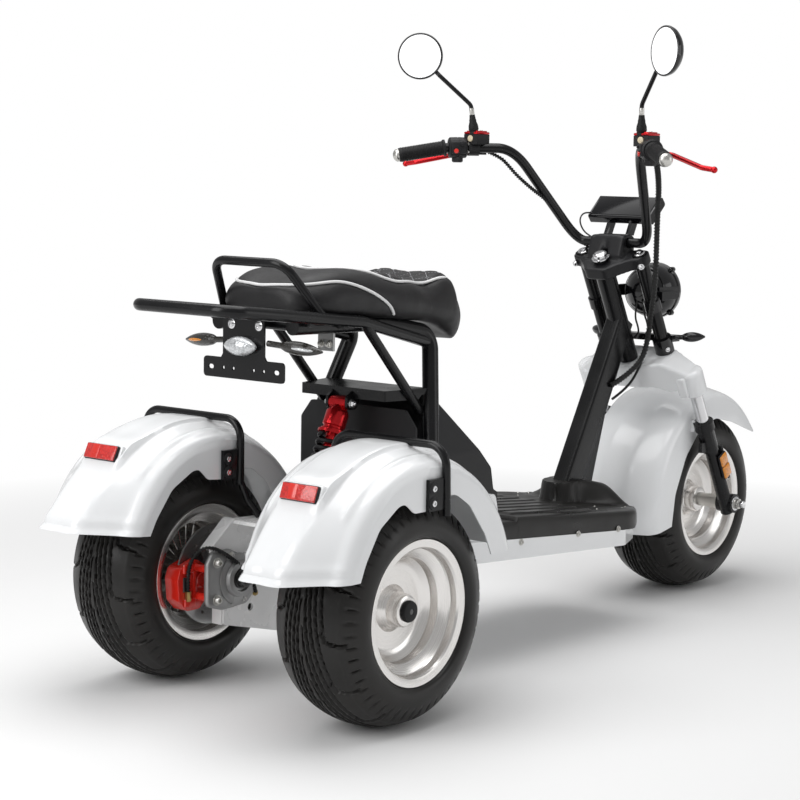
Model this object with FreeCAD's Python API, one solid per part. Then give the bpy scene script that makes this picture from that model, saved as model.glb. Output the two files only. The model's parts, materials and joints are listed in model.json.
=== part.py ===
import FreeCAD, Part
import math
import os

# A three-wheeled motor scooter: two rear wheels under white mudguards, one
# steered front wheel on a raked fork, a bench seat over a battery box and a
# low footboard between them. Lengths are millimetres. While it is drawn,
# x = 0 is over the rear axle, +X is forward, +Y is the rider's left and
# z = 0 is the floor. At the end everything moves so that the origin is at the
# bottom centre of the whole vehicle.

Vec = FreeCAD.Vector

# Stance
wheelbase = 1535.0
half_track = 280.0
rake = 28.5
axle_lead = 50.0

# Tyres and rims, the same size on all three wheels
tyre_radius = 229.5
tyre_half_width = 103.0
tread_half_width = 72.0
tread_drop = 17.0
shoulder_radius = 156.5
flange_radius = 143.0
flange_thickness = 5.0
bead_radius = 127.0
well_radius = 105.0
rim_half_width = 95.0
rim_wall = 4.0
casing_wall = 12.0
dish_offset = 26.0
hub_radius = 36.0
hub_reach = 66.0
axle_radius = 12.5
running_fit = 0.05
disc_radius = 104.0
disc_thickness = 4.0
rear_disc_offset = 112.0
front_disc_offset = 113.0
pad_gap = 2.5

# Rear mudguards
fender_y = half_track - 15.0
fender_half_width = 130.0
fender_wall = 3.0
crown_radius = 311.0
fender_rear_trim = 90.5
flange_bolt_rise = 230.5
left_fender_tilt = 5.0
fender_front_trim = 88.5

# Front mudguard
front_fender_half_width = 118.0
front_crown_radius = 302.0

# Fork
leg_y = 147.0
leg_forward = 30.8
leg_radius = 21.0
lower_leg_radius = 17.0
stanchion_radius = 15.5
upper_tube_y = 80.0
upper_tube_forward = 44.0
upper_tube_radius = 16.5
leg_foot = -44.0
leg_top = 232.0
crown_low = 328.0
crown_high = 379.0
crown_top = 424.0
bridge_low = 668.0
bridge_height = 30.0
stem_radius = 15.0
head_radius = 24.0
head_bore = 18.0
head_low = 426.0
head_high = 662.0

# Handlebar
bar_radius = 12.5
bar_bend = 40.0
grip_radius = 16.5
bar_above_bridge = 49.5
bar_ahead = 60.7
bar_low_y = 102.0
bar_high_set = (-172.0, 177.0, 220.0)
grip_start_set = (-289.0, 289.0, 219.0)
grip_end_set = (-372.0, 374.0, 198.0)

# Main frame
down_tube_depth = 60.0
down_tube_width = 45.0
down_tube_low = (-133.0, 300.0)
down_tube_high = (530.0, 9.0)
rail_y = 110.0
rail_width = 40.0
rail_height = 36.0

# Floor
floor_half_width = 200.0
floor_tilt = 4.8
floor_rear = 330.0
floor_front = wheelbase - 387.0
floor_top_at_rear = 305.0
skirt_height = 45.0
mat_thickness = 12.0
tray_wall = 3.0

# Seat frame and rack
leg_tube_radius = 17.0
rack_tube_radius = 12.0
rack_rear = -265.0
rack_rear_z = 797.0
rack_half_width = 132.0
rack_slope = 0.099
grab_tube_radius = 9.0
guard_radius = 8.0
guard_rise = 318.0
guard_gap = 0.2

# Cables
cable_radius = 6.0
hose_radius = 3.2

# Plate bracket
bracket_x = -92.0
plate_hole_z = 669.0
plate_slot_y = 87.0
plate_slot_length = 15.0
plate_slot_radius = 4.5
plate_middle_y = 53.6
plate_inner_y = 27.0
plate_hole_radius = 3.5

nose = wheelbase + tyre_radius
tail = -350.0
shift = Vec(-(nose + tail) / 2, 0, 0)

parts = {}


def add(name, *shapes):
    """Keep one node: its solids stay separate where they do not touch."""
    solids = [s for shape in shapes for s in shape.Solids]
    parts.setdefault(name, []).extend(solids)


def mirrored(shape):
    """The same shape on the other side of the vehicle."""
    return shape.mirror(Vec(0, 0, 0), Vec(0, 1, 0))


def both(shape):
    return [shape, mirrored(shape)]


def fuse(shapes):
    first, rest = shapes[0], shapes[1:]
    return first.multiFuse(rest).removeSplitter() if rest else first


def cylinder(start, end, radius):
    a, b = Vec(*start), Vec(*end)
    return Part.makeCylinder(radius, (b - a).Length, a, b - a)


def box(x0, x1, y0, y1, z0, z1):
    return Part.makeBox(x1 - x0, y1 - y0, z1 - z0, Vec(x0, y0, z0))


def smooth_path(points, radii, closed=False):
    """Straight runs joined by tangent arcs."""
    pts = [Vec(*p) for p in points]
    count = len(pts)
    if not isinstance(radii, (list, tuple)):
        radii = [radii] * count
    stops = []
    for i, p in enumerate(pts):
        if not closed and i in (0, count - 1) or radii[i] <= 0:
            stops.append((p, None, p))
            continue
        to_last = (pts[i - 1] - p).normalize()
        to_next = (pts[(i + 1) % count] - p).normalize()
        turn = math.pi - to_last.getAngle(to_next)
        reach = radii[i] * math.tan(turn / 2)
        middle = (to_last + to_next).normalize()
        depth = radii[i] / math.cos(turn / 2) - radii[i]
        stops.append((p + to_last * reach, p + middle * depth, p + to_next * reach))
    edges = []
    for i, (begin, via, end) in enumerate(stops):
        if via is not None:
            edges.append(Part.Arc(begin, via, end).toShape())
        if i + 1 < count or closed:
            following = stops[(i + 1) % count][0]
            if (following - end).Length > 1e-6:
                edges.append(Part.LineSegment(end, following).toShape())
    return Part.Wire(edges)


def tube(points, radius, bend):
    """A round tube along a path of straight runs and arcs."""
    wire = smooth_path(points, bend)
    start = Vec(*points[0])
    ring = Part.Wire([Part.makeCircle(radius, start, Vec(*points[1]) - start)])
    return wire.makePipeShell([ring], True, False)


def plate_y(outline, y0, y1, radii=0):
    """A side-view outline of (x, z) points, as thick as y0 to y1."""
    wire = smooth_path([(x, y0, z) for x, z in outline], radii, closed=True)
    return Part.Face(wire).extrude(Vec(0, y1 - y0, 0))


def plate_x(outline, x0, x1, radii=0):
    """A rear-view outline of (y, z) points, as thick as x0 to x1."""
    wire = smooth_path([(x0, y, z) for y, z in outline], radii, closed=True)
    return Part.Face(wire).extrude(Vec(x1 - x0, 0, 0))


def plate_z(outline, z0, z1, radii=0):
    """A plan outline of (x, y) points, as thick as z0 to z1."""
    wire = smooth_path([(x, y, z0) for x, y in outline], radii, closed=True)
    return Part.Face(wire).extrude(Vec(0, 0, z1 - z0))


def turned(profile, centre, axis=(0, 1, 0)):
    """A turned part. The profile is (along, radius) pairs; an item of three
    pairs is an arc from the last point through the first to the second."""
    along = Vec(*axis).normalize()
    side = along.cross(Vec(0, 0, 1))
    if side.Length < 0.1:
        side = Vec(1, 0, 0)
    side.normalize()
    origin = Vec(*centre)

    def place(pair):
        return origin + along * pair[0] + side * pair[1]

    edges = []
    last = place(profile[0])
    for item in profile[1:] + [profile[0]]:
        if isinstance(item[0], tuple):
            via, end = place(item[0]), place(item[1])
            edges.append(Part.Arc(last, via, end).toShape())
        else:
            end = place(item)
            edges.append(Part.LineSegment(last, end).toShape())
        last = end
    face = Part.Face(Part.Wire(edges))
    return face.revolve(origin, along, 360)


def fork_point(s, n, y):
    """A point in the fork's own directions: s up the steering axis from axle
    height, n forward of the axis, y to the left."""
    tilt = math.radians(rake)
    return (
        wheelbase - axle_lead - s * math.sin(tilt) + n * math.cos(tilt),
        y,
        tyre_radius + s * math.cos(tilt) + n * math.sin(tilt),
    )


def fork_plate(outline, s0, s1, radii=0):
    """A plate square to the steering axis, its outline in (n, y) points."""
    wire = smooth_path([fork_point(s0, n, y) for n, y in outline], radii, closed=True)
    rise = Vec(*fork_point(s1, 0, 0)) - Vec(*fork_point(s0, 0, 0))
    return Part.Face(wire).extrude(rise)


# Wheels


def tyre(centre):
    """A low-pressure road tyre: the casing only, its beads on the rim."""
    half, tread = tyre_half_width, tread_half_width
    edge = tyre_radius - tread_drop
    bead_y = rim_half_width - flange_thickness
    inner_top = tyre_radius - casing_wall - 2
    profile = [
        (-bead_y, bead_radius),
        (-bead_y, flange_radius),
        ((-half + 1, flange_radius + 5), (-half, shoulder_radius)),
        ((-94.0, 179.0), (-tread, edge)),
        ((0, tyre_radius), (tread, edge)),
        ((94.0, 179.0), (half, shoulder_radius)),
        ((half - 1, flange_radius + 5), (bead_y, flange_radius)),
        (bead_y, bead_radius),
        (bead_y - 16, bead_radius),
        (half - casing_wall - 6, shoulder_radius - 8),
        ((84.0, 173.0), (tread - 8, edge - casing_wall)),
        ((0, inner_top), (-tread + 8, edge - casing_wall)),
        ((-84.0, 173.0), (-half + casing_wall + 6, shoulder_radius - 8)),
        (-bead_y + 16, bead_radius),
    ]
    return turned(profile, centre)


def rim(centre, outward):
    """A deep-dish rim: barrel, dish plate and hub, dish open outwards."""
    w, wall = rim_half_width, rim_wall
    seat = bead_radius
    well = well_radius
    profile = [
        (w, flange_radius - 2),
        (w - flange_thickness, flange_radius - 2),
        (w - flange_thickness, seat),
        (w - 24, seat),
        (w - 36, well),
        (-w + 36, well),
        (-w + 24, seat),
        (-w + flange_thickness, seat),
        (-w + flange_thickness, flange_radius - 2),
        (-w, flange_radius - 2),
        (-w, flange_radius - 6),
        (-w + flange_thickness - 2, seat - wall),
        (-w + 22, seat - wall),
        (-w + 34, well - wall),
        (dish_offset - 14, well - wall),
        (dish_offset - 6, well - 16),
        (dish_offset - 8, hub_radius + 8),
        (dish_offset - 30, hub_radius),
        (-hub_reach, hub_radius),
        (-hub_reach, axle_radius + running_fit),
        (hub_reach, axle_radius + running_fit),
        (hub_reach, hub_radius - 8),
        (hub_reach - 4, hub_radius - 4),
        (dish_offset + 14, hub_radius - 2),
        (dish_offset, hub_radius + 10),
        (dish_offset + 2, well - 18),
        (dish_offset + 14, well - wall),
        (w - 34, well - wall),
        (w - 22, seat - wall),
        (w - flange_thickness + 2, seat - wall),
        (w, flange_radius - 6),
    ]
    axis = (0, 1, 0) if outward > 0 else (0, -1, 0)
    return turned(profile, centre, axis)


def brake_disc(centre, offset):
    """A vented disc on a small carrier."""
    x, y, z = centre
    face = y + offset
    half = disc_thickness / 2 * (1 if offset > 0 else -1)
    ring = cylinder((x, face - half, z), (x, face + half, z), disc_radius)
    ring = ring.cut(cylinder((x, face - 2 * half, z), (x, face + 2 * half, z), disc_radius - 34))
    boss_start = y + hub_reach * (1 if offset > 0 else -1)
    boss = cylinder((x, boss_start, z), (x, face + half, z), hub_radius + 4)
    arms = []
    for i in range(6):
        bar = box(x, x + disc_radius - 28, face - abs(half), face + abs(half), z - 8, z + 8)
        arms.append(bar.rotate(Vec(x, face, z), Vec(0, 1, 0), 60 * i))
    shape = fuse([ring, boss] + arms)
    bore = cylinder((x, y, z), (x, face + 3 * half, z), axle_radius + running_fit)
    holes = []
    for i in range(12):
        turn = math.radians(30 * i + 8)
        r = disc_radius - 17 + (5 if i % 2 else -5)
        at = (x + r * math.cos(turn), z + r * math.sin(turn))
        holes.append(cylinder((at[0], face - 4, at[1]), (at[0], face + 4, at[1]), 3.5))
    return shape.cut(bore).cut(Part.makeCompound(holes))


rear_left = (0, half_track, tyre_radius)
rear_right = (0, -half_track, tyre_radius)
front = (wheelbase, 0, tyre_radius)

add("rear_left_tyre", tyre(rear_left))
add("rear_right_tyre", tyre(rear_right))
add("front_tyre", tyre(front))
add("rear_left_rim", rim(rear_left, 1))
add("rear_right_rim", rim(rear_right, -1))
add("front_rim", rim(front, -1))
add("rear_left_disc", brake_disc(rear_left, -rear_disc_offset))
add("rear_right_disc", brake_disc(rear_right, rear_disc_offset))
add("front_disc", brake_disc(front, front_disc_offset))


# Mudguards


def guard_section(centre, station, low, half):
    """One cross-section of a mudguard: a raised ridge in the middle, rounded
    shoulders and upright sides. The station is (angle, crown, shoulder, edge)."""
    angle, crown, shoulder, edge = station
    turn = math.radians(angle)
    out = Vec(math.cos(turn), 0, math.sin(turn))
    origin = Vec(*centre)

    def place(y, r):
        return origin + out * r + Vec(0, y, 0)

    fall = crown - shoulder
    side = [(0.35, crown - 1), (0.55, crown - 0.45 * fall), (0.77, shoulder),
            (0.93, shoulder - 0.4 * (shoulder - edge)), (1.0, edge)]
    over = [(-half * f, r) for f, r in reversed(side)] + [(0, crown)]
    over += [(half * f, r) for f, r in side]
    curve = Part.BSplineCurve()
    curve.interpolate([place(y, r) for y, r in over])
    return Part.Wire(
        [
            Part.LineSegment(place(-half, low), place(-half, edge)).toShape(),
            curve.toShape(),
            Part.LineSegment(place(half, edge), place(half, low)).toShape(),
            Part.LineSegment(place(half, low), place(-half, low)).toShape(),
        ]
    )


def mudguard(centre, stations, half, wall, low):
    """A solid lofted through cross-sections, and the same shape as a shell."""
    outer = [guard_section(centre, s, low, half) for s in stations]
    inner = [guard_section(centre, (a, c - wall, m - wall, k - wall), low - 20, half - wall)
             for a, c, m, k in stations]
    solid = Part.makeLoft(outer, True)
    return solid, solid.cut(Part.makeLoft(inner, True))


def rear_fender(y):
    top = crown_radius
    stations = [(8, top - 6, top - 24, top - 48), (35, top - 2, top - 20, top - 40),
                (65, top, top - 16, top - 33), (90, top, top - 16, top - 32),
                (110, top, top - 19, top - 42), (125, top, top - 24, top - 54),
                (140, top + 3, top - 32, top - 66), (152, top + 12, top - 39, top - 73),
                (162, top + 24, top - 40, top - 76), (172, top + 38, top - 39, top - 76)]
    solid, shell = mudguard((0, y, tyre_radius), stations, fender_half_width, fender_wall, 120.0)
    axle_z = tyre_radius
    arch = plate_y(
        [
            (-250, axle_z - 130), (-205, axle_z + 70.5), (-183, axle_z + 122.5),
            (-145, axle_z + 181.5), (-89, axle_z + 218.5), (-66, axle_z + 218.5),
            (-50, axle_z + 198.5), (31, axle_z + 198.5), (50, axle_z + 220.5),
            (80, axle_z + 220.5), (124, axle_z + 194.5), (176, axle_z + 130.5),
            (206, axle_z + 70.5), (250, axle_z - 130),
        ],
        y - 200,
        y + 200,
        [0, 40, 40, 60, 20, 12, 8, 8, 12, 20, 60, 60, 30, 0],
    )
    keep = fuse([box(-500, 0, y - 200, y + 200, axle_z + fender_rear_trim, 800),
                 box(0, 500, y - 200, y + 200, axle_z + fender_front_trim, 800)])
    half = fender_half_width
    corners = plate_z([(-420, y - half), (-420, y + half), (420, y + half), (420, y - half)],
                      100, 800, [84, 84, 20, 20])
    return solid, shell.cut(arch).common(keep).common(corners)


fender_solid, fender_shell = rear_fender(-fender_y)
other_solid, other_shell = mirrored(fender_solid), mirrored(fender_shell)
for shape in (other_solid, other_shell):
    shape.rotate(Vec(0, 0, tyre_radius + flange_bolt_rise), Vec(0, 1, 0), left_fender_tilt)


def front_fender():
    top = front_crown_radius
    stations = [(43, top - 33, top - 45, top - 70), (55, top - 29, top - 41, top - 66),
                (70, top - 21, top - 32, top - 55), (88, top - 11, top - 22, top - 40),
                (105, top - 3, top - 14, top - 32), (120, top, top - 12, top - 32),
                (145, top + 8, top - 8, top - 34), (165, top + 16, top - 4, top - 34),
                (176, top + 20, top, top - 34), (190, top + 24, top + 4, top - 34)]
    solid, shell = mudguard(front, stations, front_fender_half_width, fender_wall, 100.0)
    x, z = wheelbase, tyre_radius
    arch = plate_y(
        [
            (x - 220, z - 60), (x - 205, z + 40), (x - 160, z + 130), (x - 90, z + 200),
            (x - 20, z + 214), (x + 60, z + 198), (x + 150, z + 168), (x + 320, z + 120),
            (x + 320, z - 120), (x - 100, z - 120),
        ],
        -200,
        200,
        [0, 60, 80, 60, 40, 60, 60, 0, 0, 0],
    )
    keep = plate_y(
        [(x - 400, z - 52), (x - 200, z - 52), (x + 120, z + 150), (x + 220, z + 150),
         (x + 220, z + 500), (x - 400, z + 500)],
        -200,
        200,
    )
    tabs = []
    for y in (-1, 1):
        a, b, c = fork_point(leg_top - 11, leg_forward, 0)
        y0, y1 = sorted((y * (front_fender_half_width - 2), y * (leg_y - leg_radius + 2)))
        tabs.append(box(a - 14, a + 14, y0, y1, c - 18, c + 10))
    return fuse([shell.cut(arch).common(keep)] + tabs)


# Fork and steering head


def fork_cylinder(s0, s1, n, y, radius):
    return cylinder(fork_point(s0, n, y), fork_point(s1, n, y), radius)


def fork_front(outline, n0, n1, radii=0):
    """A plate facing along the fork, its outline in (y, s) points."""
    wire = smooth_path([fork_point(s, n0, y) for y, s in outline], radii, closed=True)
    depth = Vec(*fork_point(0, n1, 0)) - Vec(*fork_point(0, n0, 0))
    return Part.Face(wire).extrude(depth)


def symmetric(half, radii):
    """An outline given for the left side only, carried round to the right."""
    return half + [(-y, s) for y, s in reversed(half)], radii + radii[::-1]


fender_front = front_fender()
stem = fork_cylinder(crown_high - 10, bridge_low + bridge_height + 12, 0, 0, stem_radius)
upper_tubes = both(fork_cylinder(crown_high, bridge_low + bridge_height + 1,
                                 upper_tube_forward, upper_tube_y, upper_tube_radius))
stanchions = both(fork_cylinder(leg_top - 60, crown_low + 40, leg_forward, leg_y, stanchion_radius))

bridge_half = [(-38, 28), (-14, 46), (14, 74), (20, 96), (44, 103), (66, 96), (68, 62), (44, 38)]
bridge = fork_plate([(n, -y) for n, y in reversed(bridge_half)] + bridge_half, bridge_low,
                    bridge_low + bridge_height,
                    [16, 14, 14, 20, 14, 12, 20, 14] + [14, 20, 12, 14, 20, 14, 14, 16])

# The lower crown: a deep bridge with sloping shoulders out to the leg sockets
crown_front, crown_round = symmetric([(100, crown_top), (leg_y + 10, crown_high + 2),
                                      (leg_y + 10, crown_high - 30), (108, crown_high - 40),
                                      (70, crown_high - 18)], [8, 10, 10, 20, 40])
crown_body = fork_front(crown_front, -36, 64, crown_round).common(
    fork_plate([(-36, -44), (-36, 44), (6, leg_y + 10), (56, leg_y + 10), (64, 60), (64, -60),
                (56, -leg_y - 10), (6, -leg_y - 10)], 300, 500,
               [24, 24, 14, 14, 30, 30, 14, 14]))
sockets = both(fork_cylinder(crown_low, crown_high + 4, leg_forward, leg_y, 28.0))
crown_shape = fuse([crown_body] + sockets)
for guest in [stem] + upper_tubes + stanchions:
    crown_shape = crown_shape.cut(guest)
add("fork_crown", crown_shape)
add("fork_tubes", *upper_tubes)
add("steering_stem", stem)
add("fork_stanchions", *stanchions)


def fork_leg():
    """The right slider, with its seal collar, axle boss and bolt tab."""
    n, y = leg_forward, -leg_y
    lower = fork_cylinder(leg_foot, 158, n + 3.5, y, lower_leg_radius)
    upper = fork_cylinder(148, leg_top, n, y, leg_radius)
    collar = fork_cylinder(leg_top - 22, leg_top, n, y, leg_radius + 4)
    boss = cylinder((wheelbase, y - 22, tyre_radius), (wheelbase, y + 22, tyre_radius), 24)
    tab_at = fork_point(172, n - leg_radius - 6, y)
    tab = box(tab_at[0] - 14, tab_at[0] + 14, y - 5, y + 5, tab_at[2] - 12, tab_at[2] + 12)
    return fuse([lower, upper, collar, boss, tab])


axle_front = cylinder((wheelbase, -leg_y - 34, tyre_radius), (wheelbase, leg_y + 34, tyre_radius),
                      axle_radius)
for leg in both(fork_leg()):
    for guest in [axle_front] + stanchions:
        leg = leg.cut(guest)
    add("fork_legs", leg)


def hex_nut(centre, height, across, axis=1):
    """A hexagon nut whose axis is along Y, standing on its inner face."""
    x, y, z = centre
    r = across / math.sqrt(3)
    pts = []
    for i in range(6):
        turn = math.radians(60 * i)
        pts.append((x + r * math.cos(turn), z + r * math.sin(turn)))
    y0, y1 = sorted((y, y + height * axis))
    return plate_y(pts, y0, y1)


nut_y = leg_y + 22
nuts = [hex_nut((wheelbase, nut_y, tyre_radius), 12, 24), hex_nut((wheelbase, -nut_y, tyre_radius),
        12, 24, -1)]
add("front_axle", fuse([axle_front] + nuts + [
    cylinder((wheelbase, -leg_y + 22, tyre_radius), (wheelbase, -hub_reach - 0.5, tyre_radius), 17.0),
    cylinder((wheelbase, front_disc_offset + 3, tyre_radius),
             (wheelbase, leg_y - 22, tyre_radius), 17.0),
]))

for guest in both(fork_leg()) + stanchions + [crown_shape]:
    fender_front = fender_front.cut(guest)
add("front_fender", fender_front)


# Handlebar and what it carries


def right(point):
    return (point[0], -point[1], point[2])


def from_point(point, x, y, z):
    """The point this far forward, left and up from another."""
    return (point[0] + x, point[1] + y, point[2] + z)


bar_middle = fork_point(bridge_low + bar_above_bridge, bar_ahead, 0)
bar_low = from_point(bar_middle, 0, bar_low_y, 0)
bar_high = from_point(bar_middle, *bar_high_set)
grip_start = from_point(bar_middle, *grip_start_set)
grip_end = from_point(bar_middle, *grip_end_set)

bar = tube(
    [right(grip_end), right(grip_start), right(bar_high), right(bar_low), bar_low, bar_high,
     grip_start, grip_end],
    bar_radius - 1,
    [0, 60, 45, bar_bend, bar_bend, 45, 60, 0],
)


def riser(y):
    """One handlebar riser: a block round the bar, down to the top bridge."""
    x, z = bar_low[0], bar_low[2]
    block = plate_y(
        [(x - 24, z + 18), (x + 24, z + 18), (x + 24, z - 22), (x + 18, z - 42), (x - 30, z - 62),
         (x - 40, z - 30)],
        y - 20,
        y + 20,
        [10, 10, 8, 4, 4, 10],
    )
    return block


top_block = plate_y([(bar_low[0] - 26, bar_low[2] + 20), (bar_low[0] + 26, bar_low[2] + 20),
                     (bar_low[0] + 24, bar_low[2] - 20), (bar_low[0] - 30, bar_low[2] - 20)],
                    -34, 30, 8)
bridge_full = fuse([bridge, riser(-28), riser(28), top_block])
main_nut = fork_cylinder(bridge_low + bridge_height, bridge_low + bridge_height + 12, 0, 0, 16)
bridge_full = fuse([bridge_full, main_nut])
for guest in [stem, bar] + upper_tubes:
    bridge_full = bridge_full.cut(guest)
add("top_bridge", bridge_full)
add("handlebar", bar)


def along(a, b, distance):
    """The point a set distance from a towards b."""
    start, end = Vec(*a), Vec(*b)
    p = start + (end - start).normalize() * distance
    return (p.x, p.y, p.z)


def sleeve(a, b, outer):
    return cylinder(a, b, outer).cut(bar)


grip_length = (Vec(*grip_end) - Vec(*grip_start)).Length
grip_from = along(grip_end, grip_start, 6)
grip_to = along(grip_end, grip_start, grip_length - 2)
grip = sleeve(grip_from, grip_to, grip_radius)
add("grips", *both(grip))
weight = cylinder(along(grip_end, grip_start, 5.5), along(grip_end, grip_start, -6), 14.0)
add("bar_ends", *both(weight.cut(bar)))

pod_from = along(grip_start, bar_high, 6)
pod_to = along(grip_start, bar_high, 48)
pod = cylinder(pod_from, pod_to, 24.0)
add("switch_pods", *both(pod.cut(bar)))

clamp_from = along(grip_start, bar_high, 52)
clamp_to = along(grip_start, bar_high, 78)
clamp_mid = along(grip_start, bar_high, 65)
cx, cy, cz = clamp_mid
cyl_body = fuse([
    cylinder(clamp_from, clamp_to, 19.0),
    box(cx - 20, cx + 30, cy - 25, cy + 13, cz + 8, cz + 32),
    box(cx + 2, cx + 42, cy - 8, cy + 12, cz - 16, cz + 12),
]).cut(pod).cut(bar)
mirror_base = from_point(clamp_mid, -11, -10, 32)
add("master_cylinders", *both(cyl_body))
lever = tube(
    [from_point(clamp_mid, *reach) for reach in
     ((38, 0, -4), (36, 44, -10), (-24, 156, -36.4), (-24, 187, -40.4))],
    6.0,
    [0, 20, 20, 0],
)
add("brake_levers", *both(lever.cut(cyl_body)))

mirror_centre = from_point(clamp_mid, -92, 94, 213)
mirror_turn = 25.0
mirror_radius = 53.0
facing = (-math.cos(math.radians(mirror_turn)), -math.sin(math.radians(mirror_turn)), 0.0)
mirror_back = tuple(mirror_centre[i] - 14 * facing[i] for i in range(3))
mirror_head = turned(
    [(0, 0), (0, mirror_radius), (-5, mirror_radius + 1),
     ((-14, 0.6 * mirror_radius), (-18, 0))],
    mirror_centre,
    facing,
)
stem_mirror = tube([mirror_base, from_point(clamp_mid, -20, -6, 100), from_point(clamp_mid, -64, 56, 168),
                    mirror_back], 5.0, [0, 20, 20, 0])
boot = cylinder(mirror_base, along(mirror_base, from_point(clamp_mid, -20, -6, 100), 24), 9.0)
mirror = fuse([mirror_head, stem_mirror, boot])
add("mirrors", *both(mirror.cut(cyl_body)))

display_half = 88.0
display_low = (bar_low[0] + 20.0, bar_low[2] + 61.0)
display_high = (bar_low[0] + 76.0, bar_low[2] + 111.0)
display = plate_y(
    [display_low, display_high, (display_high[0] + 17, display_high[1] - 19),
     (display_low[0] + 17, display_low[1] - 19)],
    -display_half,
    display_half,
    [6, 6, 6, 6],
)
display_legs = []
for y in (-34, 28):
    display_legs.append(plate_y([(bar_low[0] + ahead, bar_low[2] + up) for ahead, up in
                                 ((10, 16), (40, 16), (66, 66), (30, 56))], y, y + 6, 3))
add("display", fuse([display] + display_legs).cut(bridge_full))

lamp_under_bridge = 98.0
lamp_ring_height = 28.0
lamp_reach = 149.6
lamp_radius = 67.0
lamp_depth = 88.0
ring_top = bridge_low - lamp_under_bridge
ring_middle = fork_point(ring_top - lamp_ring_height / 2, upper_tube_forward, 0)
lamp_front = ring_middle[0] + lamp_reach
lamp_height = ring_middle[2] + 25.9
lamp = turned(
    [(0, 0), (0, lamp_radius - 6), (-4, lamp_radius), (-22, lamp_radius),
     ((-66, 52), (-lamp_depth, 20)), (-lamp_depth, 0)],
    (lamp_front, 0, lamp_height),
    (1, 0, 0),
)
ears = []
for y in (-1, 1):
    y0, y1 = sorted((y * (lamp_radius - 1), y * (lamp_radius + 5)))
    ear = box(lamp_front - 108, lamp_front - 16, y0, y1, lamp_height - 14, lamp_height + 14)
    grip_ring = fork_cylinder(ring_top - lamp_ring_height, ring_top, upper_tube_forward,
                              y * upper_tube_y, upper_tube_radius + 4)
    y0, y1 = sorted((y * (lamp_radius + 3), y * 100))
    link = box(ring_middle[0] + 10, lamp_front - 68, y0, y1, lamp_height - 14, lamp_height + 6)
    ears.append(fuse([ear, grip_ring, link]))
lamp_all = fuse([lamp] + ears)
for guest in upper_tubes:
    lamp_all = lamp_all.cut(guest)
add("headlight", lamp_all)

lamp_foot = fork_point(crown_top + 32, upper_tube_forward, 0)
lamp_bar = fuse([
    box(lamp_foot[0] + 8, lamp_foot[0] + 42, -104, 104, lamp_foot[2] - 4, lamp_foot[2] + 12),
] + both(fork_cylinder(crown_top, crown_top + 40, upper_tube_forward, upper_tube_y,
                        upper_tube_radius + 7)))


def indicator(base, tip, radius):
    """A leaf-shaped turn lamp on a short stalk, pointing outwards."""
    length = (Vec(*tip) - Vec(*base)).Length
    axis = tuple(tip[i] - base[i] for i in range(3))
    return turned(
        [(0, 0), (0, 6), (0.25 * length, 6), (0.34 * length, radius * 0.8),
         ((0.62 * length, radius), (0.9 * length, radius * 0.5)), (length, 2), (length, 0)],
        base,
        axis,
    )


front_lamp = indicator(from_point(lamp_foot, 25, upper_tube_y + 20, 6),
                       from_point(lamp_foot, 62, upper_tube_y + 84, 10), 12)
lamp_bar = fuse([lamp_bar] + both(front_lamp))
for guest in upper_tubes + [crown_shape]:
    lamp_bar = lamp_bar.cut(guest)
add("front_indicators", lamp_bar)

fork_reflector = fork_cylinder(54, 144, leg_forward + lower_leg_radius + 1, -leg_y - 10, 9.0).cut(
    fork_cylinder(0, 200, leg_forward + 3.5, -leg_y, lower_leg_radius))
add("fork_reflectors", *both(fork_reflector))

caliper_y = front_disc_offset
caliper_front = box(wheelbase - 112, wheelbase - 50, caliper_y - 12, caliper_y + 20,
                    tyre_radius + 8, tyre_radius + 80)
for guest in [
    cylinder((wheelbase, caliper_y - disc_thickness / 2 - pad_gap, tyre_radius),
             (wheelbase, caliper_y + disc_thickness / 2 + pad_gap, tyre_radius), disc_radius + 4),
] + both(fork_leg()):
    caliper_front = caliper_front.cut(guest)
add("front_caliper", caliper_front)

# Main frame


def sloped_floor(x):
    """The height of the floor's top surface at this x."""
    return floor_top_at_rear - (x - floor_rear) * math.tan(math.radians(floor_tilt))


def down_tube():
    low = Vec(floor_front + down_tube_low[0], 0, down_tube_low[1])
    high = Vec(*fork_point(down_tube_high[0], down_tube_high[1], 0))
    run = (high - low).normalize()
    back = Vec(-run.z, 0, run.x)
    half_d, half_w = down_tube_depth / 2, down_tube_width / 2
    corners = [low + back * half_d + Vec(0, half_w, 0), low + back * half_d - Vec(0, half_w, 0),
               low - back * half_d - Vec(0, half_w, 0), low - back * half_d + Vec(0, half_w, 0)]
    wire = smooth_path([(c.x, c.y, c.z) for c in corners], 8, closed=True)
    return Part.Face(wire).extrude(high - low)


head_tube = fork_cylinder(head_low, head_high, 0, 0, head_radius)
gusset_top = fork_point(431, -102, 0)
gusset = plate_y([(floor_front - 108, 285), (floor_front - 45, 285), (gusset_top[0], gusset_top[2]),
                  (gusset_top[0] - 20, gusset_top[2] + 30)], -15, 15, [0, 0, 10, 0])
rails = []
for y in (-rail_y, rail_y):
    rail_front = floor_front - 88
    z_rear, z_front = sloped_floor(240) - 24, sloped_floor(floor_front - 68) - 24
    rails.append(plate_y([(200, z_rear), (rail_front, z_front), (rail_front, z_front - rail_height),
                          (200, z_rear - rail_height)], y - rail_width / 2, y + rail_width / 2))
cross_x = floor_front - 128
cross_front = box(cross_x - 20, cross_x + 20, -rail_y, rail_y, sloped_floor(cross_x) - 24 - rail_height,
                  sloped_floor(cross_x) - 26)
cross_mid = box(640, 670, -rail_y, rail_y, sloped_floor(655) - 24 - rail_height,
                sloped_floor(655) - 28)
cross_rear = box(320, 362, -184, 184, 254, 284)
foot_block = box(floor_front - 178, floor_front - 48, -60, 60, 250, 300)
frame = fuse([head_tube, down_tube(), gusset, cross_front, cross_mid, cross_rear, foot_block] + rails)
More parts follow.
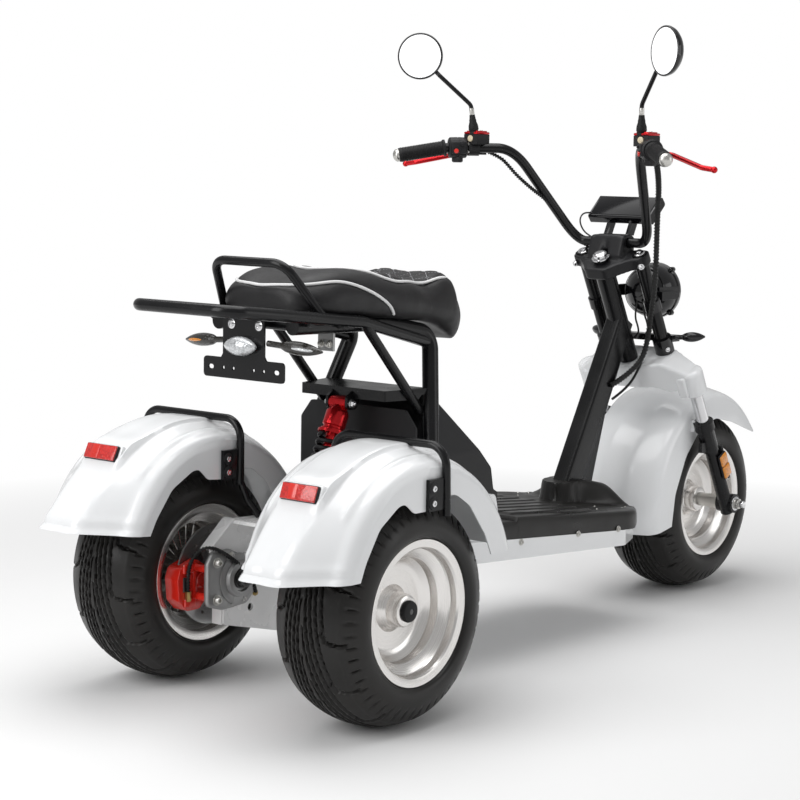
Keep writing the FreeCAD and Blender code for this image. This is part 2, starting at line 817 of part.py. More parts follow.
head_hollow = fork_cylinder(head_low - 20, head_high + 20, 0, 0, head_bore)
bearing_rings = []
for s0, s1 in ((head_low, head_low + 16), (head_high - 16, head_high)):
    ring = fork_cylinder(s0, s1, 0, 0, head_bore)
    bearing_rings.append(ring.cut(fork_cylinder(s0 - 1, s1 + 1, 0, 0, stem_radius + running_fit)))
frame = fuse([frame.cut(head_hollow)] + bearing_rings)

# Floor tray, footboard and battery box

taper_x = floor_front - 168
tray_outline = [(floor_rear, -floor_half_width), (taper_x, -floor_half_width), (floor_front, -120),
                (floor_front, 120), (taper_x, floor_half_width), (floor_rear, floor_half_width)]
inner_half = floor_half_width - tray_wall
inner_outline = [(floor_rear + tray_wall, -inner_half), (taper_x - 1, -inner_half),
                 (floor_front - tray_wall, -118), (floor_front - tray_wall, 118),
                 (taper_x - 1, inner_half), (floor_rear + tray_wall, inner_half)]
tray_side = plate_y([(floor_rear, sloped_floor(floor_rear) - mat_thickness),
                     (floor_front, sloped_floor(floor_front) - mat_thickness),
                     (floor_front, sloped_floor(floor_front) - skirt_height),
                     (floor_rear, sloped_floor(floor_rear) - skirt_height - 14)], -400, 400)
past_x = floor_front + 352
tray_inner_side = plate_y([(0, sloped_floor(0) + 40), (past_x, sloped_floor(past_x) + 40),
                           (past_x, sloped_floor(past_x) - skirt_height + tray_wall),
                           (0, sloped_floor(0) - skirt_height - 11)], -400, 400)
tray_radii = [20, 60, 70, 70, 60, 20]
tray = plate_z(tray_outline, 100, 500, tray_radii).common(tray_side)
tray = tray.cut(plate_z(inner_outline, 100, 500, tray_radii).common(tray_inner_side))
mat_rear = 548.0
mat_side = plate_y([(mat_rear, sloped_floor(mat_rear)),
                    (floor_front, sloped_floor(floor_front)),
                    (floor_front, sloped_floor(floor_front) - mat_thickness),
                    (mat_rear, sloped_floor(mat_rear) - mat_thickness)], -400, 400)
mat = plate_z(tray_outline, 100, 500, tray_radii).common(mat_side)
plinth_low = sloped_floor(floor_front - 108)


def floor_ring(z, x0, x1, half, radius):
    return smooth_path([(x0, -half, z), (x1, -half, z), (x1, half, z), (x0, half, z)], radius,
                       closed=True)


plinth = Part.makeLoft([floor_ring(plinth_low - 20, floor_front - 298, floor_front, 168, 90),
                        floor_ring(plinth_low + 28, floor_front - 280, floor_front - 4, 160, 90),
                        floor_ring(plinth_low + 62, floor_front - 243, floor_front - 36, 118, 80),
                        floor_ring(plinth_low + 80, floor_front - 208, floor_front - 66, 78, 50)], True)
collar = Part.makeLoft([floor_ring(plinth_low, floor_front - 203, floor_front - 26, 50, 20),
                        floor_ring(plinth_low + 84, floor_front - 176, floor_front - 38, 38, 18)], True)
mat = fuse([mat, plinth, collar])
frame_hull = [down_tube(), gusset, foot_block]
for guest in frame_hull + rails:
    mat = mat.cut(guest)
    tray = tray.cut(guest)
tray = tray.cut(mat)
for guest in [tray, mat]:
    frame = frame.cut(guest)

box_outline = [(330, 606), (350, 596), (521, 428), (531, 380), (546, 372), (546, 248),
               (262, 248), (256, 450)]
battery_box = plate_y(box_outline, -150, 150, [10, 12, 16, 8, 0, 0, 10, 10])
battery_box = battery_box.common(plate_x(
    [(-150, 240), (150, 240), (150, 470), (112, 608), (-112, 608), (-150, 470)], 200, 600,
    [0, 0, 30, 10, 10, 30]))
rear_panel = plate_x([(-156, 424), (-156, 536), (-128, 572), (128, 572), (156, 536), (156, 424)],
                     253, 258, [6, 10, 10, 10, 10, 6])
battery_box = fuse([battery_box, rear_panel])
for guest in rails + [cross_rear]:
    battery_box = battery_box.cut(guest)
cowl = plate_y([(floor_rear, 250), (492, 250), (498, 330), (484, 384), (430, 366),
                (floor_rear, 330)], -190, 190, [0, 0, 20, 14, 10, 0])
cowl_hollow = plate_y([(floor_rear - 5, 240), (488, 240), (494, 330), (481, 380), (430, 362),
                       (floor_rear - 5, 326)], -187, 187)
cowl = cowl.cut(cowl_hollow).cut(box(200, 700, -150.0, 150.0, 200, 700))
tray = fuse([tray, cowl])
for guest in frame_hull + rails + [mat]:
    tray = tray.cut(guest)
battery_box = battery_box.cut(tray)
add("footboard", mat)
add("battery_box", battery_box)
fender_shell, other_shell = fender_shell.cut(battery_box), other_shell.cut(battery_box)
add("rear_fenders", fender_shell, other_shell)

# Seat frame, rack and seat


def seat_leg():
    return tube([(340, -166, 266), (292, -166, 482), (362, -102, 722), (200, -98, 752),
                 (-60, -98, 757)], leg_tube_radius, [0, 120, 34, 200, 0])


def rack_height(x):
    return rack_rear_z - (x - rack_rear) * rack_slope


seat_legs = both(seat_leg())
for leg in seat_legs:
    tray = tray.cut(leg)
add("floor_tray", tray)
cross_plan = [(205, -113), (320, -137), (320, 137), (205, 113)]
cross_plate = plate_z(cross_plan, 591, 613, 4).cut(
    plate_z([(209, -109), (316, -132), (316, 132), (209, 109)], 580, 609))
cross_plate = cross_plate.cut(plate_y([(262, 560), (330, 560), (330, 600), (300, 600)], -140, 140))
shock_mount = []
for y in (-26, 26):
    shock_mount.append(plate_y([(186, 568), (186, 594), (212, 610), (240, 610), (214, 568)],
                               y - 3, y + 3, [8, 4, 0, 0, 8]))
seat_cross = [cylinder((x, -98, z), (x, 98, z), 10) for x, z in ((-40, 756), (200, 752))]
seat_frame = fuse(seat_legs + [cross_plate] + seat_cross + shock_mount)
seat_frame = seat_frame.cut(battery_box)

rail_bend = (107, rack_height(107))
rack_path = []
for side in (-1, 1):
    one = [(355, side * 107, 702), (rail_bend[0], side * rack_half_width, rail_bend[1]),
           (rack_rear, side * rack_half_width, rack_rear_z)]
    rack_path += one if side < 0 else one[::-1]
rack_tube = tube(rack_path, rack_tube_radius, [0, 60, 40, 40, 60, 0])
grab = tube([(-5, -132, rack_height(-5)), (-79, -92, 878), (-79, 92, 878),
             (-5, 132, rack_height(-5))], grab_tube_radius, [0, 40, 40, 0])
struts = both(tube([(118, -128, rack_height(118) - 2), (300, -128, 566)], 10, [0, 0]))
rack_links = []
for x in (-40, 60):
    rack_links.append(cylinder((x, -rack_half_width, rack_height(x) - 10),
                               (x, rack_half_width, rack_height(x) - 10), 8))
rack = fuse([rack_tube, grab] + struts + rack_links).cut(seat_frame)
rack = max(rack.Solids, key=lambda solid: solid.Volume)
latch = box(58, 64, -100, -60, 702, rack_height(60) - 10).cut(rack).cut(seat_frame)
add("seat_latch", latch)
add("rear_rack", rack)
add("seat_frame", seat_frame)


def seat_ring(x, low, high, half):
    """One cross-section of the seat."""
    mid = (low + high) / 2
    pts = [(x, -half * 0.8, low), (x, -half, mid), (x, -half * 0.82, high - 8), (x, 0, high),
           (x, half * 0.82, high - 8), (x, half, mid), (x, half * 0.8, low)]
    curve = Part.BSplineCurve()
    curve.interpolate([Vec(*p) for p in pts])
    return Part.Wire([curve.toShape(),
                      Part.LineSegment(Vec(*pts[-1]), Vec(*pts[0])).toShape()])


seat_stations = [(-52, 786, 822, 62), (-36, 772, 834, 104), (14, 766, 850, 132),
                 (100, 763, 858, 142), (190, 760, 850, 143), (290, 752, 827, 138),
                 (330, 748, 811, 134), (382, 734, 820, 132), (428, 716, 825, 121),
                 (470, 702, 803, 96), (500, 716, 760, 54)]
seat = Part.makeLoft([seat_ring(*s) for s in seat_stations], True)
for guest in [rack, seat_frame]:
    seat = seat.cut(guest)
add("seat", seat)

# Rear suspension, axle and brakes

shock_top = (200.0, 0.0, 581.0)
shock_low = (112.0, 0.0, tyre_radius + 155.5)
shock_length = (Vec(*shock_top) - Vec(*shock_low)).Length
shock_run = Vec(*shock_low) - Vec(*shock_top)
shock_eye = 14.0
spring_from = 70.0
spring_to = shock_length - 35.0
wire_radius = 4.3
coil_radius = 23.5
coil_turns = 6.5


def shock_part(start, end, radius):
    """A round piece of the shock between two distances down from its top eye."""
    return cylinder(along(shock_top, shock_low, start), along(shock_top, shock_low, end), radius)


damper = fuse([
    turned([(8, 0), (8, 13), (16, 20), (24, 24), (52, 24), (54, 21), (58, 21), (60, 25),
            (spring_from - 6, 25), (spring_from - 6, coil_radius + 6),
            (spring_from, coil_radius + 6), (spring_from, 0)], shock_top, tuple(shock_run)),
    shock_part(60, spring_to - 30, 10),
    shock_part(spring_to - 40, shock_length, 15),
    cylinder((shock_top[0], -22, shock_top[2]), (shock_top[0], 22, shock_top[2]), shock_eye),
    cylinder((shock_low[0], -22, shock_low[2]), (shock_low[0], 22, shock_low[2]), shock_eye),
    shock_part(spring_to, spring_to + 7, coil_radius + 6),
]).cut(seat_frame)
add("rear_shock", damper)


def coil_spring():
    """The coil between the two seats, made upright and turned onto the shock."""
    height = spring_to - spring_from - 2 * wire_radius - 0.5
    path = Part.makeHelix(height / coil_turns, height, coil_radius)
    ring = Part.Wire([Part.makeCircle(wire_radius, Vec(coil_radius, 0, 0), Vec(0, 1, 0))])
    coil = Part.Wire(path).makePipeShell([ring], True, True)
    coil.Placement = FreeCAD.Placement(Vec(*along(shock_top, shock_low, spring_from + wire_radius + 0.25)),
                                       FreeCAD.Rotation(Vec(0, 0, 1), shock_run))
    return coil


add("shock_spring", coil_spring())

axle_z = tyre_radius
arm_y = half_track - 165
arm_sides = []
for y in (-arm_y, arm_y):
    side = plate_y([(-62, axle_z + 66.5), (5, axle_z + 120.5), (96, axle_z + 116.5),
                    (140, axle_z + 70.5), (300, 262), (300, 215), (170, axle_z - 59.5),
                    (150, axle_z - 137.5), (-25, axle_z - 95.5), (-25, axle_z - 57.5),
                    (-62, axle_z + 10.5)], y - 3, y + 3, [6, 10, 12, 30, 6, 6, 30, 10, 8, 20, 20])
    hole = cylinder((54, y - 10, axle_z - 70.5), (54, y + 10, axle_z - 70.5), 8)
    y0, y1 = sorted((y, y + 26 * (1 if y > 0 else -1)))
    returns = [plate_y([(-62, axle_z + 66.5), (-66, axle_z + 63.5), (-2, axle_z + 117.5),
                        (5, axle_z + 120.5)], y0, y1),
               box(-29, -25, y0, y1, axle_z - 95.5, axle_z - 59.5)]
    arm_sides.append(fuse([side.cut(hole)] + returns))
arm_lug = [plate_y([(72, axle_z + 110.5), (95, shock_low[2] + 13), (130, shock_low[2] + 13),
                    (130, axle_z + 110.5)], y - 3, y + 3, 4) for y in (-26, 26)]
arm_pin = cylinder((shock_low[0], -26, shock_low[2]), (shock_low[0], 26, shock_low[2]), 6)
arm_top = plate_y([(0, axle_z + 110.5), (6, axle_z + 116.5), (132, axle_z + 116.5),
                   (132, axle_z + 110.5)], -arm_y, arm_y)
arm_back = box(126, 132, -arm_y, arm_y, axle_z, axle_z + 116.5)
pivot = cylinder((285, -arm_y, 238), (285, arm_y, 238), 14)
arm = fuse(arm_sides + arm_lug + [arm_top, arm_back, pivot, arm_pin])
for guest in [damper, battery_box, frame, tray]:
    arm = arm.cut(guest)
arm = max(arm.Solids, key=lambda solid: solid.Volume)

carriers = []
axles = []
calipers = []
for side in (-1, 1):
    y0, y1 = sorted((side * (arm_y - 17), side * (arm_y - 3.1)))
    carrier = plate_y([(x, axle_z + up) for x, up in
                       ((-70, 62.5), (-20, 62.5), (36, 36.5), (60, 0.5), (56, -33.5), (30, -57.5),
                        (-40, -61.5), (-85, -47.5), (-85, 38.5))], y0, y1, 12)
    bosses = [cylinder((x, y0 - 2.5 if side > 0 else y1 + 2.5, axle_z + up),
                       (x, (y0 + y1) / 2, axle_z + up), 9) for x, up in ((-62, 40), (-62, -36))]
    stub = cylinder((0, side * (arm_y - 39), tyre_radius), (0, side * (half_track + 72), tyre_radius),
                    axle_radius)
    ring = cylinder((0, side * (arm_y - 24), tyre_radius), (0, side * (arm_y - 16), tyre_radius), 33)
    disc_y = half_track - rear_disc_offset
    collar_r = cylinder((0, side * (arm_y + 3.1), tyre_radius), (0, side * (disc_y - 3), tyre_radius), 20)
    nuts = [hex_nut((0, side * (half_track + hub_reach + 0.6), tyre_radius), 10, 26, side),
            hex_nut((0, side * (arm_y - 24), tyre_radius), 13, 30, -side)]
    axles.append(fuse([stub, collar_r] + nuts))
    arm = arm.cut(stub)
    c0, c1 = sorted((side * (disc_y - 22), side * (disc_y + 15)))
    caliper = plate_y([(x, axle_z + up) for x, up in
                       ((-122, 6.5), (-114, 28.5), (-70, 42.5), (-34, 20.5), (-38, -39.5),
                        (-60, -61.5), (-96, -61.5), (-118, -37.5))], c0, c1, 12)
    slot_y = side * disc_y
    slot = cylinder((0, slot_y - disc_thickness / 2 - pad_gap, tyre_radius),
                    (0, slot_y + disc_thickness / 2 + pad_gap, tyre_radius), disc_radius + 3)
    lugs = [cylinder((-74, side * (arm_y - 11), axle_z + up), (-74, side * (disc_y - 21), axle_z + up), 8)
            for up in (-31.5, 26.5)]
    boss_room = cylinder((0, side * (disc_y - 28), tyre_radius), (0, side * (disc_y + 32), tyre_radius),
                         48)
    calipers.append(fuse([caliper.cut(slot).cut(boss_room)] + lugs))
    carrier = fuse([carrier, ring] + bosses).cut(stub)
    for lug in lugs:
        carrier, arm = carrier.cut(lug), arm.cut(lug)
    carriers.append(carrier)
add("swing_arm", arm)
add("axle_carriers", *carriers)
add("rear_axles", *axles)
add("rear_calipers", *calipers)

# Guards over the mudguards, reflectors, lamps and plate bracket

fender_in = fender_y - fender_half_width
fender_out = fender_y + fender_half_width
guard_in = fender_in - guard_radius - guard_gap
guard_out = fender_out + guard_radius + guard_gap
guard_low = axle_z + 185.5
guard_top = axle_z + guard_rise
hoop = tube([(36, -guard_in, guard_low), (36, -guard_in, guard_top), (36, -guard_out, guard_top),
             (42, -guard_out, guard_low)], guard_radius, [0, 40, 40, 0])
guard_feet = [box(-12, 44, -fender_in, -guard_in, axle_z + 198.5, axle_z + 258.5),
              box(-12, 44, -guard_out, -fender_out, axle_z + 198.5, axle_z + 258.5)]
guard_link = tube([(36, -guard_in, guard_low + 9), (50, -fender_in + 16, guard_low - 33),
                   (61, -arm_y + 19, axle_z + 118.5)], 7, [0, 12, 0])
guard = fuse([hoop, guard_link] + guard_feet).cut(arm)
add("fender_guards", *both(guard))

turn = math.radians(130)
reach = crown_radius + 4
reflector = box(-14, 4, -38, 38, -17, 17).rotate(Vec(0, 0, 0), Vec(0, 1, 0), -40)
reflector.translate(Vec(reach * math.cos(turn) - 4, -fender_y, tyre_radius + reach * math.sin(turn)))
other_reflector = mirrored(reflector)
other_reflector.rotate(Vec(0, 0, tyre_radius + flange_bolt_rise), Vec(0, 1, 0), left_fender_tilt)
add("rear_reflectors", reflector.cut(fender_solid), other_reflector.cut(other_solid))

z = plate_hole_z
plate_half = [(107, z - 20), (107, z + 20), (60, z + 20), (55, z + 28), (55, 770)]
plate_outline, plate_round = symmetric(plate_half, [8, 8, 4, 4, 4])
plate = plate_x(plate_outline, bracket_x, bracket_x + 4, plate_round)
holes = []
for y in (-plate_slot_y, plate_slot_y):
    r, reach = plate_slot_radius, plate_slot_length / 2 - plate_slot_radius
    holes.append(fuse([cylinder((bracket_x - 8, y + end, z), (bracket_x + 8, y + end, z), r)
                       for end in (-reach, reach)]
                      + [box(bracket_x - 8, bracket_x + 8, y - reach, y + reach, z - r, z + r)]))
for y in (-plate_middle_y, -plate_inner_y, plate_inner_y, plate_middle_y):
    holes.append(cylinder((bracket_x - 8, y, z), (bracket_x + 8, y, z), plate_hole_radius))
plate = plate.cut(Part.makeCompound(holes))
hanger = plate_y([(bracket_x, 756), (bracket_x, 770), (-42, 774), (-42, 760)], -40, 40, 2)
plate = fuse([plate, hanger]).cut(rack).cut(seat_frame)
add("plate_bracket", plate)
lamp_half = 41.0
lens = turned([(-lamp_half, 0), (-lamp_half, 3), ((-0.5 * lamp_half, 15.5), (0, 19)),
               ((0.5 * lamp_half, 15.5), (lamp_half, 3)), (lamp_half, 0)],
              (bracket_x - 9, 0, plate_hole_z + 46), (0, 1, 0))
lens = lens.cut(plate)
add("tail_light", max(lens.Solids, key=lambda solid: solid.Volume))
rear_lamp = indicator((bracket_x + 10, 55, 723), (-66, 182, 714), 13)
add("rear_indicators", *both(rear_lamp.cut(plate)))

for guest in seat_legs:
    frame = frame.cut(guest)
add("main_frame", frame)

# Cables and hoses

bundle = tube([(1052, -206, 1084), (1100, -186, 1046), (1148, -154, 960), (1180, -134, 884),
               (1200, -122, 822), (1204, -116, 764), (1218, -100, 716), (1238, -84, 668),
               (1246, -66, 614), (1232, -50, 584), (1196, -34, 557), (1166, -26, 545)],
              cable_radius, [0] + [28] * 10 + [0])
hose = tube([(1222, -46, 856), (1240, -50, 814), (1274, -56, 724), (1287, -54, 683),
             (1276, -52, 624), (1244, -50, 571), (1218, -36, 533), (1178, -24, 511)],
            hose_radius, [0] + [30] * 6 + [0])
cables = []
for cable in (bundle, hose):
    for guest in [frame, crown_shape, bridge_full, bar, cyl_body, mirrored(cyl_body)] + upper_tubes:
        cable = cable.cut(guest)
    cables.append(max(cable.Solids, key=lambda solid: solid.Volume))
add("cables", *cables)

os.makedirs("parts", exist_ok=True)
for name, solids in parts.items():
    shape = Part.makeCompound(solids) if len(solids) > 1 else solids[0]
    shape = shape.copy()
    shape.translate(shift)
    shape.exportStep("parts/" + name + ".step")
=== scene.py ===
import json
import math

import bmesh
import bpy
from mathutils import Matrix, Vector, noise
from mathutils.bvhtree import BVHTree
from mathutils.kdtree import KDTree


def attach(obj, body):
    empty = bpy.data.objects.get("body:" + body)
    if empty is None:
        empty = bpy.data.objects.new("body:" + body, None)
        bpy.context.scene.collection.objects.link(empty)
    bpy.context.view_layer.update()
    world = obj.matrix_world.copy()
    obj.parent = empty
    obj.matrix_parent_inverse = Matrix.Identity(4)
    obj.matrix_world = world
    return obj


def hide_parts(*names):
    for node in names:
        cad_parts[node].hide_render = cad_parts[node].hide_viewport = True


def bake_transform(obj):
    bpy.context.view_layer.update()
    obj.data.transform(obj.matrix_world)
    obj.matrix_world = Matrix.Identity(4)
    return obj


bl_info = {
    "name": "Cargo scooter dressing",
    "version": (1, 0, 0),
    "blender": (4, 5, 0),
    "location": "View3D > Sidebar > Scooter",
    "description": "Dresses the packed three-wheeled scooter: paint, treads, seat cover, "
                   "cables and bolts",
    "category": "Object",
}

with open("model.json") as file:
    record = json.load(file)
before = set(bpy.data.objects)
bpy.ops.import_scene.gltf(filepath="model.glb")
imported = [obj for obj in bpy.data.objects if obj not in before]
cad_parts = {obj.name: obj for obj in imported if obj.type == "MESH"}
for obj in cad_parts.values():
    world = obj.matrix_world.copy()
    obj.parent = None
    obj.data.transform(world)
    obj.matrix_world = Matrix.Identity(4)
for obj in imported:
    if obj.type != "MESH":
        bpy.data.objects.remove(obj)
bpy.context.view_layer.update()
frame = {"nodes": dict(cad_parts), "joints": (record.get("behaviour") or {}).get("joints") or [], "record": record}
JOINTS = {j["name"]: j for j in frame["joints"]}

# The frame's own directions, in metres

MM = 0.001
REAR_X = JOINTS["rear_left_spin"]["pos_m"][0]
HALF_TRACK = JOINTS["rear_left_spin"]["pos_m"][1]
AXLE_Z = JOINTS["rear_left_spin"]["pos_m"][2]
FRONT_X = JOINTS["front_wheel_spin"]["pos_m"][0]
STEER_AT = Vector(JOINTS["steering"]["pos_m"])
STEER_UP = Vector(JOINTS["steering"]["axis"]).normalized()
STEER_AHEAD = Vector((STEER_UP.z, 0, -STEER_UP.x))
FORK_TURN = Matrix((STEER_AHEAD, Vector((0, 1, 0)), STEER_UP)).transposed().to_4x4()
WHEELS = {
    "rear_left": (Vector((REAR_X, HALF_TRACK, AXLE_Z)), 1),
    "rear_right": (Vector((REAR_X, -HALF_TRACK, AXLE_Z)), -1),
    "front": (Vector((FRONT_X, 0, AXLE_Z)), -1),
}
TYRE_RADIUS = AXLE_Z


def at(x, y, z):
    """A point given in millimetres from the rear axle's middle on the floor."""
    return Vector((REAR_X + x * MM, y * MM, z * MM))


def on_fork(s, n, y):
    """A point s up the steering axis, n ahead of it and y to the left, in millimetres."""
    return STEER_AT + STEER_UP * s * MM + STEER_AHEAD * n * MM + Vector((0, y * MM, 0))


def on_side(point, side):
    """A left-side point, or its twin on the right where side is negative."""
    return at(point[0], side * point[1], point[2])


def run_of(points, side=1):
    """A route's points in metres, or those of its twin on the right."""
    return [on_side(point, side) for point in points]


def side_name(side):
    return "left" if side > 0 else "right"


# Sizes and colours that a user would change


class ScooterStage(bpy.types.PropertyGroup):
    floor_colour: bpy.props.FloatVectorProperty(
        name="Floor colour", description="Colour of the pale floor", subtype="COLOR", size=3,
        default=(0.86, 0.86, 0.86), min=0, max=1)
    floor_radius: bpy.props.FloatProperty(
        name="Floor radius", description="Half width of the floor disc", default=9.0,
        unit="LENGTH")
    white_from: bpy.props.FloatProperty(
        name="White from", description="Distance at which the floor turns white", default=1.3,
        unit="LENGTH")
    overhead_power: bpy.props.FloatProperty(
        name="Overhead light", description="Power of the overhead soft box in watts", default=62.0)
    side_power: bpy.props.FloatProperty(
        name="Side light", description="Power of the rear side soft box in watts", default=42.0)
    fill_power: bpy.props.FloatProperty(
        name="Fill light", description="Power of the fill soft box in watts", default=16.0)
    sky: bpy.props.FloatProperty(
        name="Sky light", description="Strength of the even light from all round", default=0.42)


class ScooterPaint(bpy.types.PropertyGroup):
    white: bpy.props.FloatVectorProperty(
        name="White paint", description="Colour of the mudguards and the skirt", subtype="COLOR",
        size=3, default=(0.80, 0.81, 0.82), min=0, max=1)
    black: bpy.props.FloatVectorProperty(
        name="Black paint", description="Colour of the frame and the bars", subtype="COLOR",
        size=3, default=(0.0040, 0.0040, 0.0045), min=0, max=1)
    red: bpy.props.FloatVectorProperty(
        name="Red", description="Colour of the calipers, levers and shock", subtype="COLOR",
        size=3, default=(0.70, 0.020, 0.010), min=0, max=1)
    amber: bpy.props.FloatVectorProperty(
        name="Amber", description="Colour of the side reflectors", subtype="COLOR",
        size=3, default=(0.95, 0.33, 0.01), min=0, max=1)
    edge_radius: bpy.props.FloatProperty(
        name="Edge radius", description="Rounding of pressed and cast edges", default=0.0009,
        unit="LENGTH")


class ScooterTyre(bpy.types.PropertyGroup):
    groove_depth: bpy.props.FloatProperty(
        name="Groove depth", description="Depth of the tread's grooves", default=0.0070,
        unit="LENGTH")
    groove_width: bpy.props.FloatProperty(
        name="Groove width", description="Width of the long grooves", default=0.0062,
        unit="LENGTH")
    repeats: bpy.props.IntProperty(
        name="Repeats", description="Grooves that start round the tyre on each half", default=13)
    steps: bpy.props.IntProperty(
        name="Steps", description="Faces round the tyre", default=420)


class ScooterSeat(bpy.types.PropertyGroup):
    piping_radius: bpy.props.FloatProperty(
        name="Piping radius", description="Thickness of the white piping", default=0.0030,
        unit="LENGTH")
    quilt_pitch: bpy.props.FloatProperty(
        name="Quilt pitch", description="Distance between the quilting lines", default=0.030,
        unit="LENGTH")
    voxel: bpy.props.FloatProperty(
        name="Mesh size", description="Face size of the remeshed cover", default=0.0045,
        unit="LENGTH")


class ScooterCables(bpy.types.PropertyGroup):
    wrap_pitch: bpy.props.FloatProperty(
        name="Wrap pitch", description="Rise of the spiral wrap at each turn", default=0.0085,
        unit="LENGTH")


# Shader node groups


def new_group(name, inputs, outputs):
    group = bpy.data.node_groups.new(name, "ShaderNodeTree")
    for label, kind, default in inputs:
        socket = group.interface.new_socket(name=label, in_out="INPUT", socket_type=kind)
        socket.default_value = default
    for label, kind in outputs:
        group.interface.new_socket(name=label, in_out="OUTPUT", socket_type=kind)
    return group, group.nodes.new("NodeGroupInput"), group.nodes.new("NodeGroupOutput")


def node(tree, kind, links=(), **values):
    """A new node; links are (input, output socket) pairs, values are its settings."""
    made = tree.nodes.new(kind)
    for key, value in values.items():
        setattr(made, key, value)
    for key, source in links:
        if hasattr(source, "is_output"):
            tree.links.new(source, made.inputs[key])
        else:
            made.inputs[key].default_value = source
    return made


def ramp(tree, source, low, high):
    """A factor from 0 at low to 1 at high."""
    made = node(tree, "ShaderNodeMapRange", [
        ("Value", source), ("From Min", low), ("From Max", high)])
    return made.outputs["Result"]


def maths(tree, operation, *values):
    """The result of a Math node on numbers or sockets."""
    return node(tree, "ShaderNodeMath", enumerate(values), operation=operation).outputs[0]


def mixed(tree, factor, first, second):
    """A colour between two, by a factor."""
    made = node(tree, "ShaderNodeMix", [("Factor", factor), ("A", first), ("B", second)],
                data_type="RGBA")
    return made.outputs["Result"]


def bumped(group, outs, strength, distance, height):
    """Put a bump on the group's normal."""
    bump = node(group, "ShaderNodeBump", [
        ("Strength", strength), ("Distance", distance), ("Height", height)])
    group.links.new(bump.outputs["Normal"], outs.inputs["Normal"])


def finish_group():
    """Fine grain with a slow change of tone and gloss, for paint, plastic and castings."""
    group, ins, outs = new_group("skin_finish", [
        ("Color", "NodeSocketColor", (0.5, 0.5, 0.5, 1)),
        ("Second Color", "NodeSocketColor", (0.4, 0.4, 0.4, 1)),
        ("Roughness", "NodeSocketFloat", 0.4),
        ("Spread", "NodeSocketFloat", 0.1),
        ("Patch Scale", "NodeSocketFloat", 12.0),
        ("Grain Scale", "NodeSocketFloat", 900.0),
        ("Grain Height", "NodeSocketFloat", 0.05),
    ], [("Color", "NodeSocketColor"), ("Roughness", "NodeSocketFloat"),
        ("Normal", "NodeSocketVector")])
    place = node(group, "ShaderNodeTexCoord").outputs["Object"]
    patches = node(group, "ShaderNodeTexNoise", [
        ("Vector", place), ("Scale", ins.outputs["Patch Scale"]), ("Detail", 5.0)])
    grain = node(group, "ShaderNodeTexNoise", [
        ("Vector", place), ("Scale", ins.outputs["Grain Scale"]), ("Detail", 3.0)])
    tone = ramp(group, patches.outputs["Fac"], 0.35, 0.65)
    colour = mixed(group, tone, ins.outputs["Color"], ins.outputs["Second Color"])
    group.links.new(colour, outs.inputs["Color"])
    rough = maths(group, "MULTIPLY_ADD", maths(group, "ADD", tone, -0.5), ins.outputs["Spread"],
                  ins.outputs["Roughness"])
    group.links.new(rough, outs.inputs["Roughness"])
    bumped(group, outs, ins.outputs["Grain Height"], 0.0006, grain.outputs["Fac"])
    return group


def lathe_group():
    """Fine turning rings about an axle along Y, for rims and discs."""
    group, ins, outs = new_group("lathe_rings", [
        ("Centre", "NodeSocketVector", (0, 0, 0)),
        ("Ring Scale", "NodeSocketFloat", 900.0),
        ("Height", "NodeSocketFloat", 0.1),
    ], [("Rings", "NodeSocketFloat"), ("Normal", "NodeSocketVector")])
    place = node(group, "ShaderNodeTexCoord").outputs["Object"]
    local = node(group, "ShaderNodeVectorMath", [(0, place), (1, ins.outputs["Centre"])],
                 operation="SUBTRACT")
    split = node(group, "ShaderNodeSeparateXYZ", [("Vector", local.outputs[0])])
    flat = node(group, "ShaderNodeCombineXYZ", [
        ("X", split.outputs["X"]), ("Y", split.outputs["Z"])])
    radius = node(group, "ShaderNodeVectorMath", [(0, flat.outputs[0])], operation="LENGTH")
    scaled = maths(group, "MULTIPLY", radius.outputs["Value"], ins.outputs["Ring Scale"])
    lined = node(group, "ShaderNodeCombineXYZ", [("X", scaled)])
    rings = node(group, "ShaderNodeTexNoise", [
        ("Vector", lined.outputs[0]), ("Scale", 1.0), ("Detail", 3.0)]).outputs["Fac"]
    group.links.new(rings, outs.inputs["Rings"])
    bumped(group, outs, ins.outputs["Height"], 0.0004, rings)
    return group


def leather_group():
    """Pebbled vinyl: small cells, soft creases and a slow change of gloss."""
    group, ins, outs = new_group("pebbled_cover", [
        ("Cell Scale", "NodeSocketFloat", 420.0),
        ("Height", "NodeSocketFloat", 0.25),
        ("Roughness", "NodeSocketFloat", 0.45),
    ], [("Roughness", "NodeSocketFloat"), ("Normal", "NodeSocketVector")])
    place = node(group, "ShaderNodeTexCoord").outputs["Object"]
    cells = node(group, "ShaderNodeTexVoronoi", [
        ("Vector", place), ("Scale", ins.outputs["Cell Scale"])], feature="SMOOTH_F1")
    creases = node(group, "ShaderNodeTexNoise", [
        ("Vector", place), ("Scale", 26.0), ("Detail", 6.0)]).outputs["Fac"]
    height = maths(group, "MULTIPLY_ADD", creases, 0.6, cells.outputs["Distance"])
    bumped(group, outs, ins.outputs["Height"], 0.0012, height)
    gloss = maths(group, "MULTIPLY_ADD", maths(group, "ADD", creases, -0.5), 0.35,
                  ins.outputs["Roughness"])
    group.links.new(gloss, outs.inputs["Roughness"])
    return group


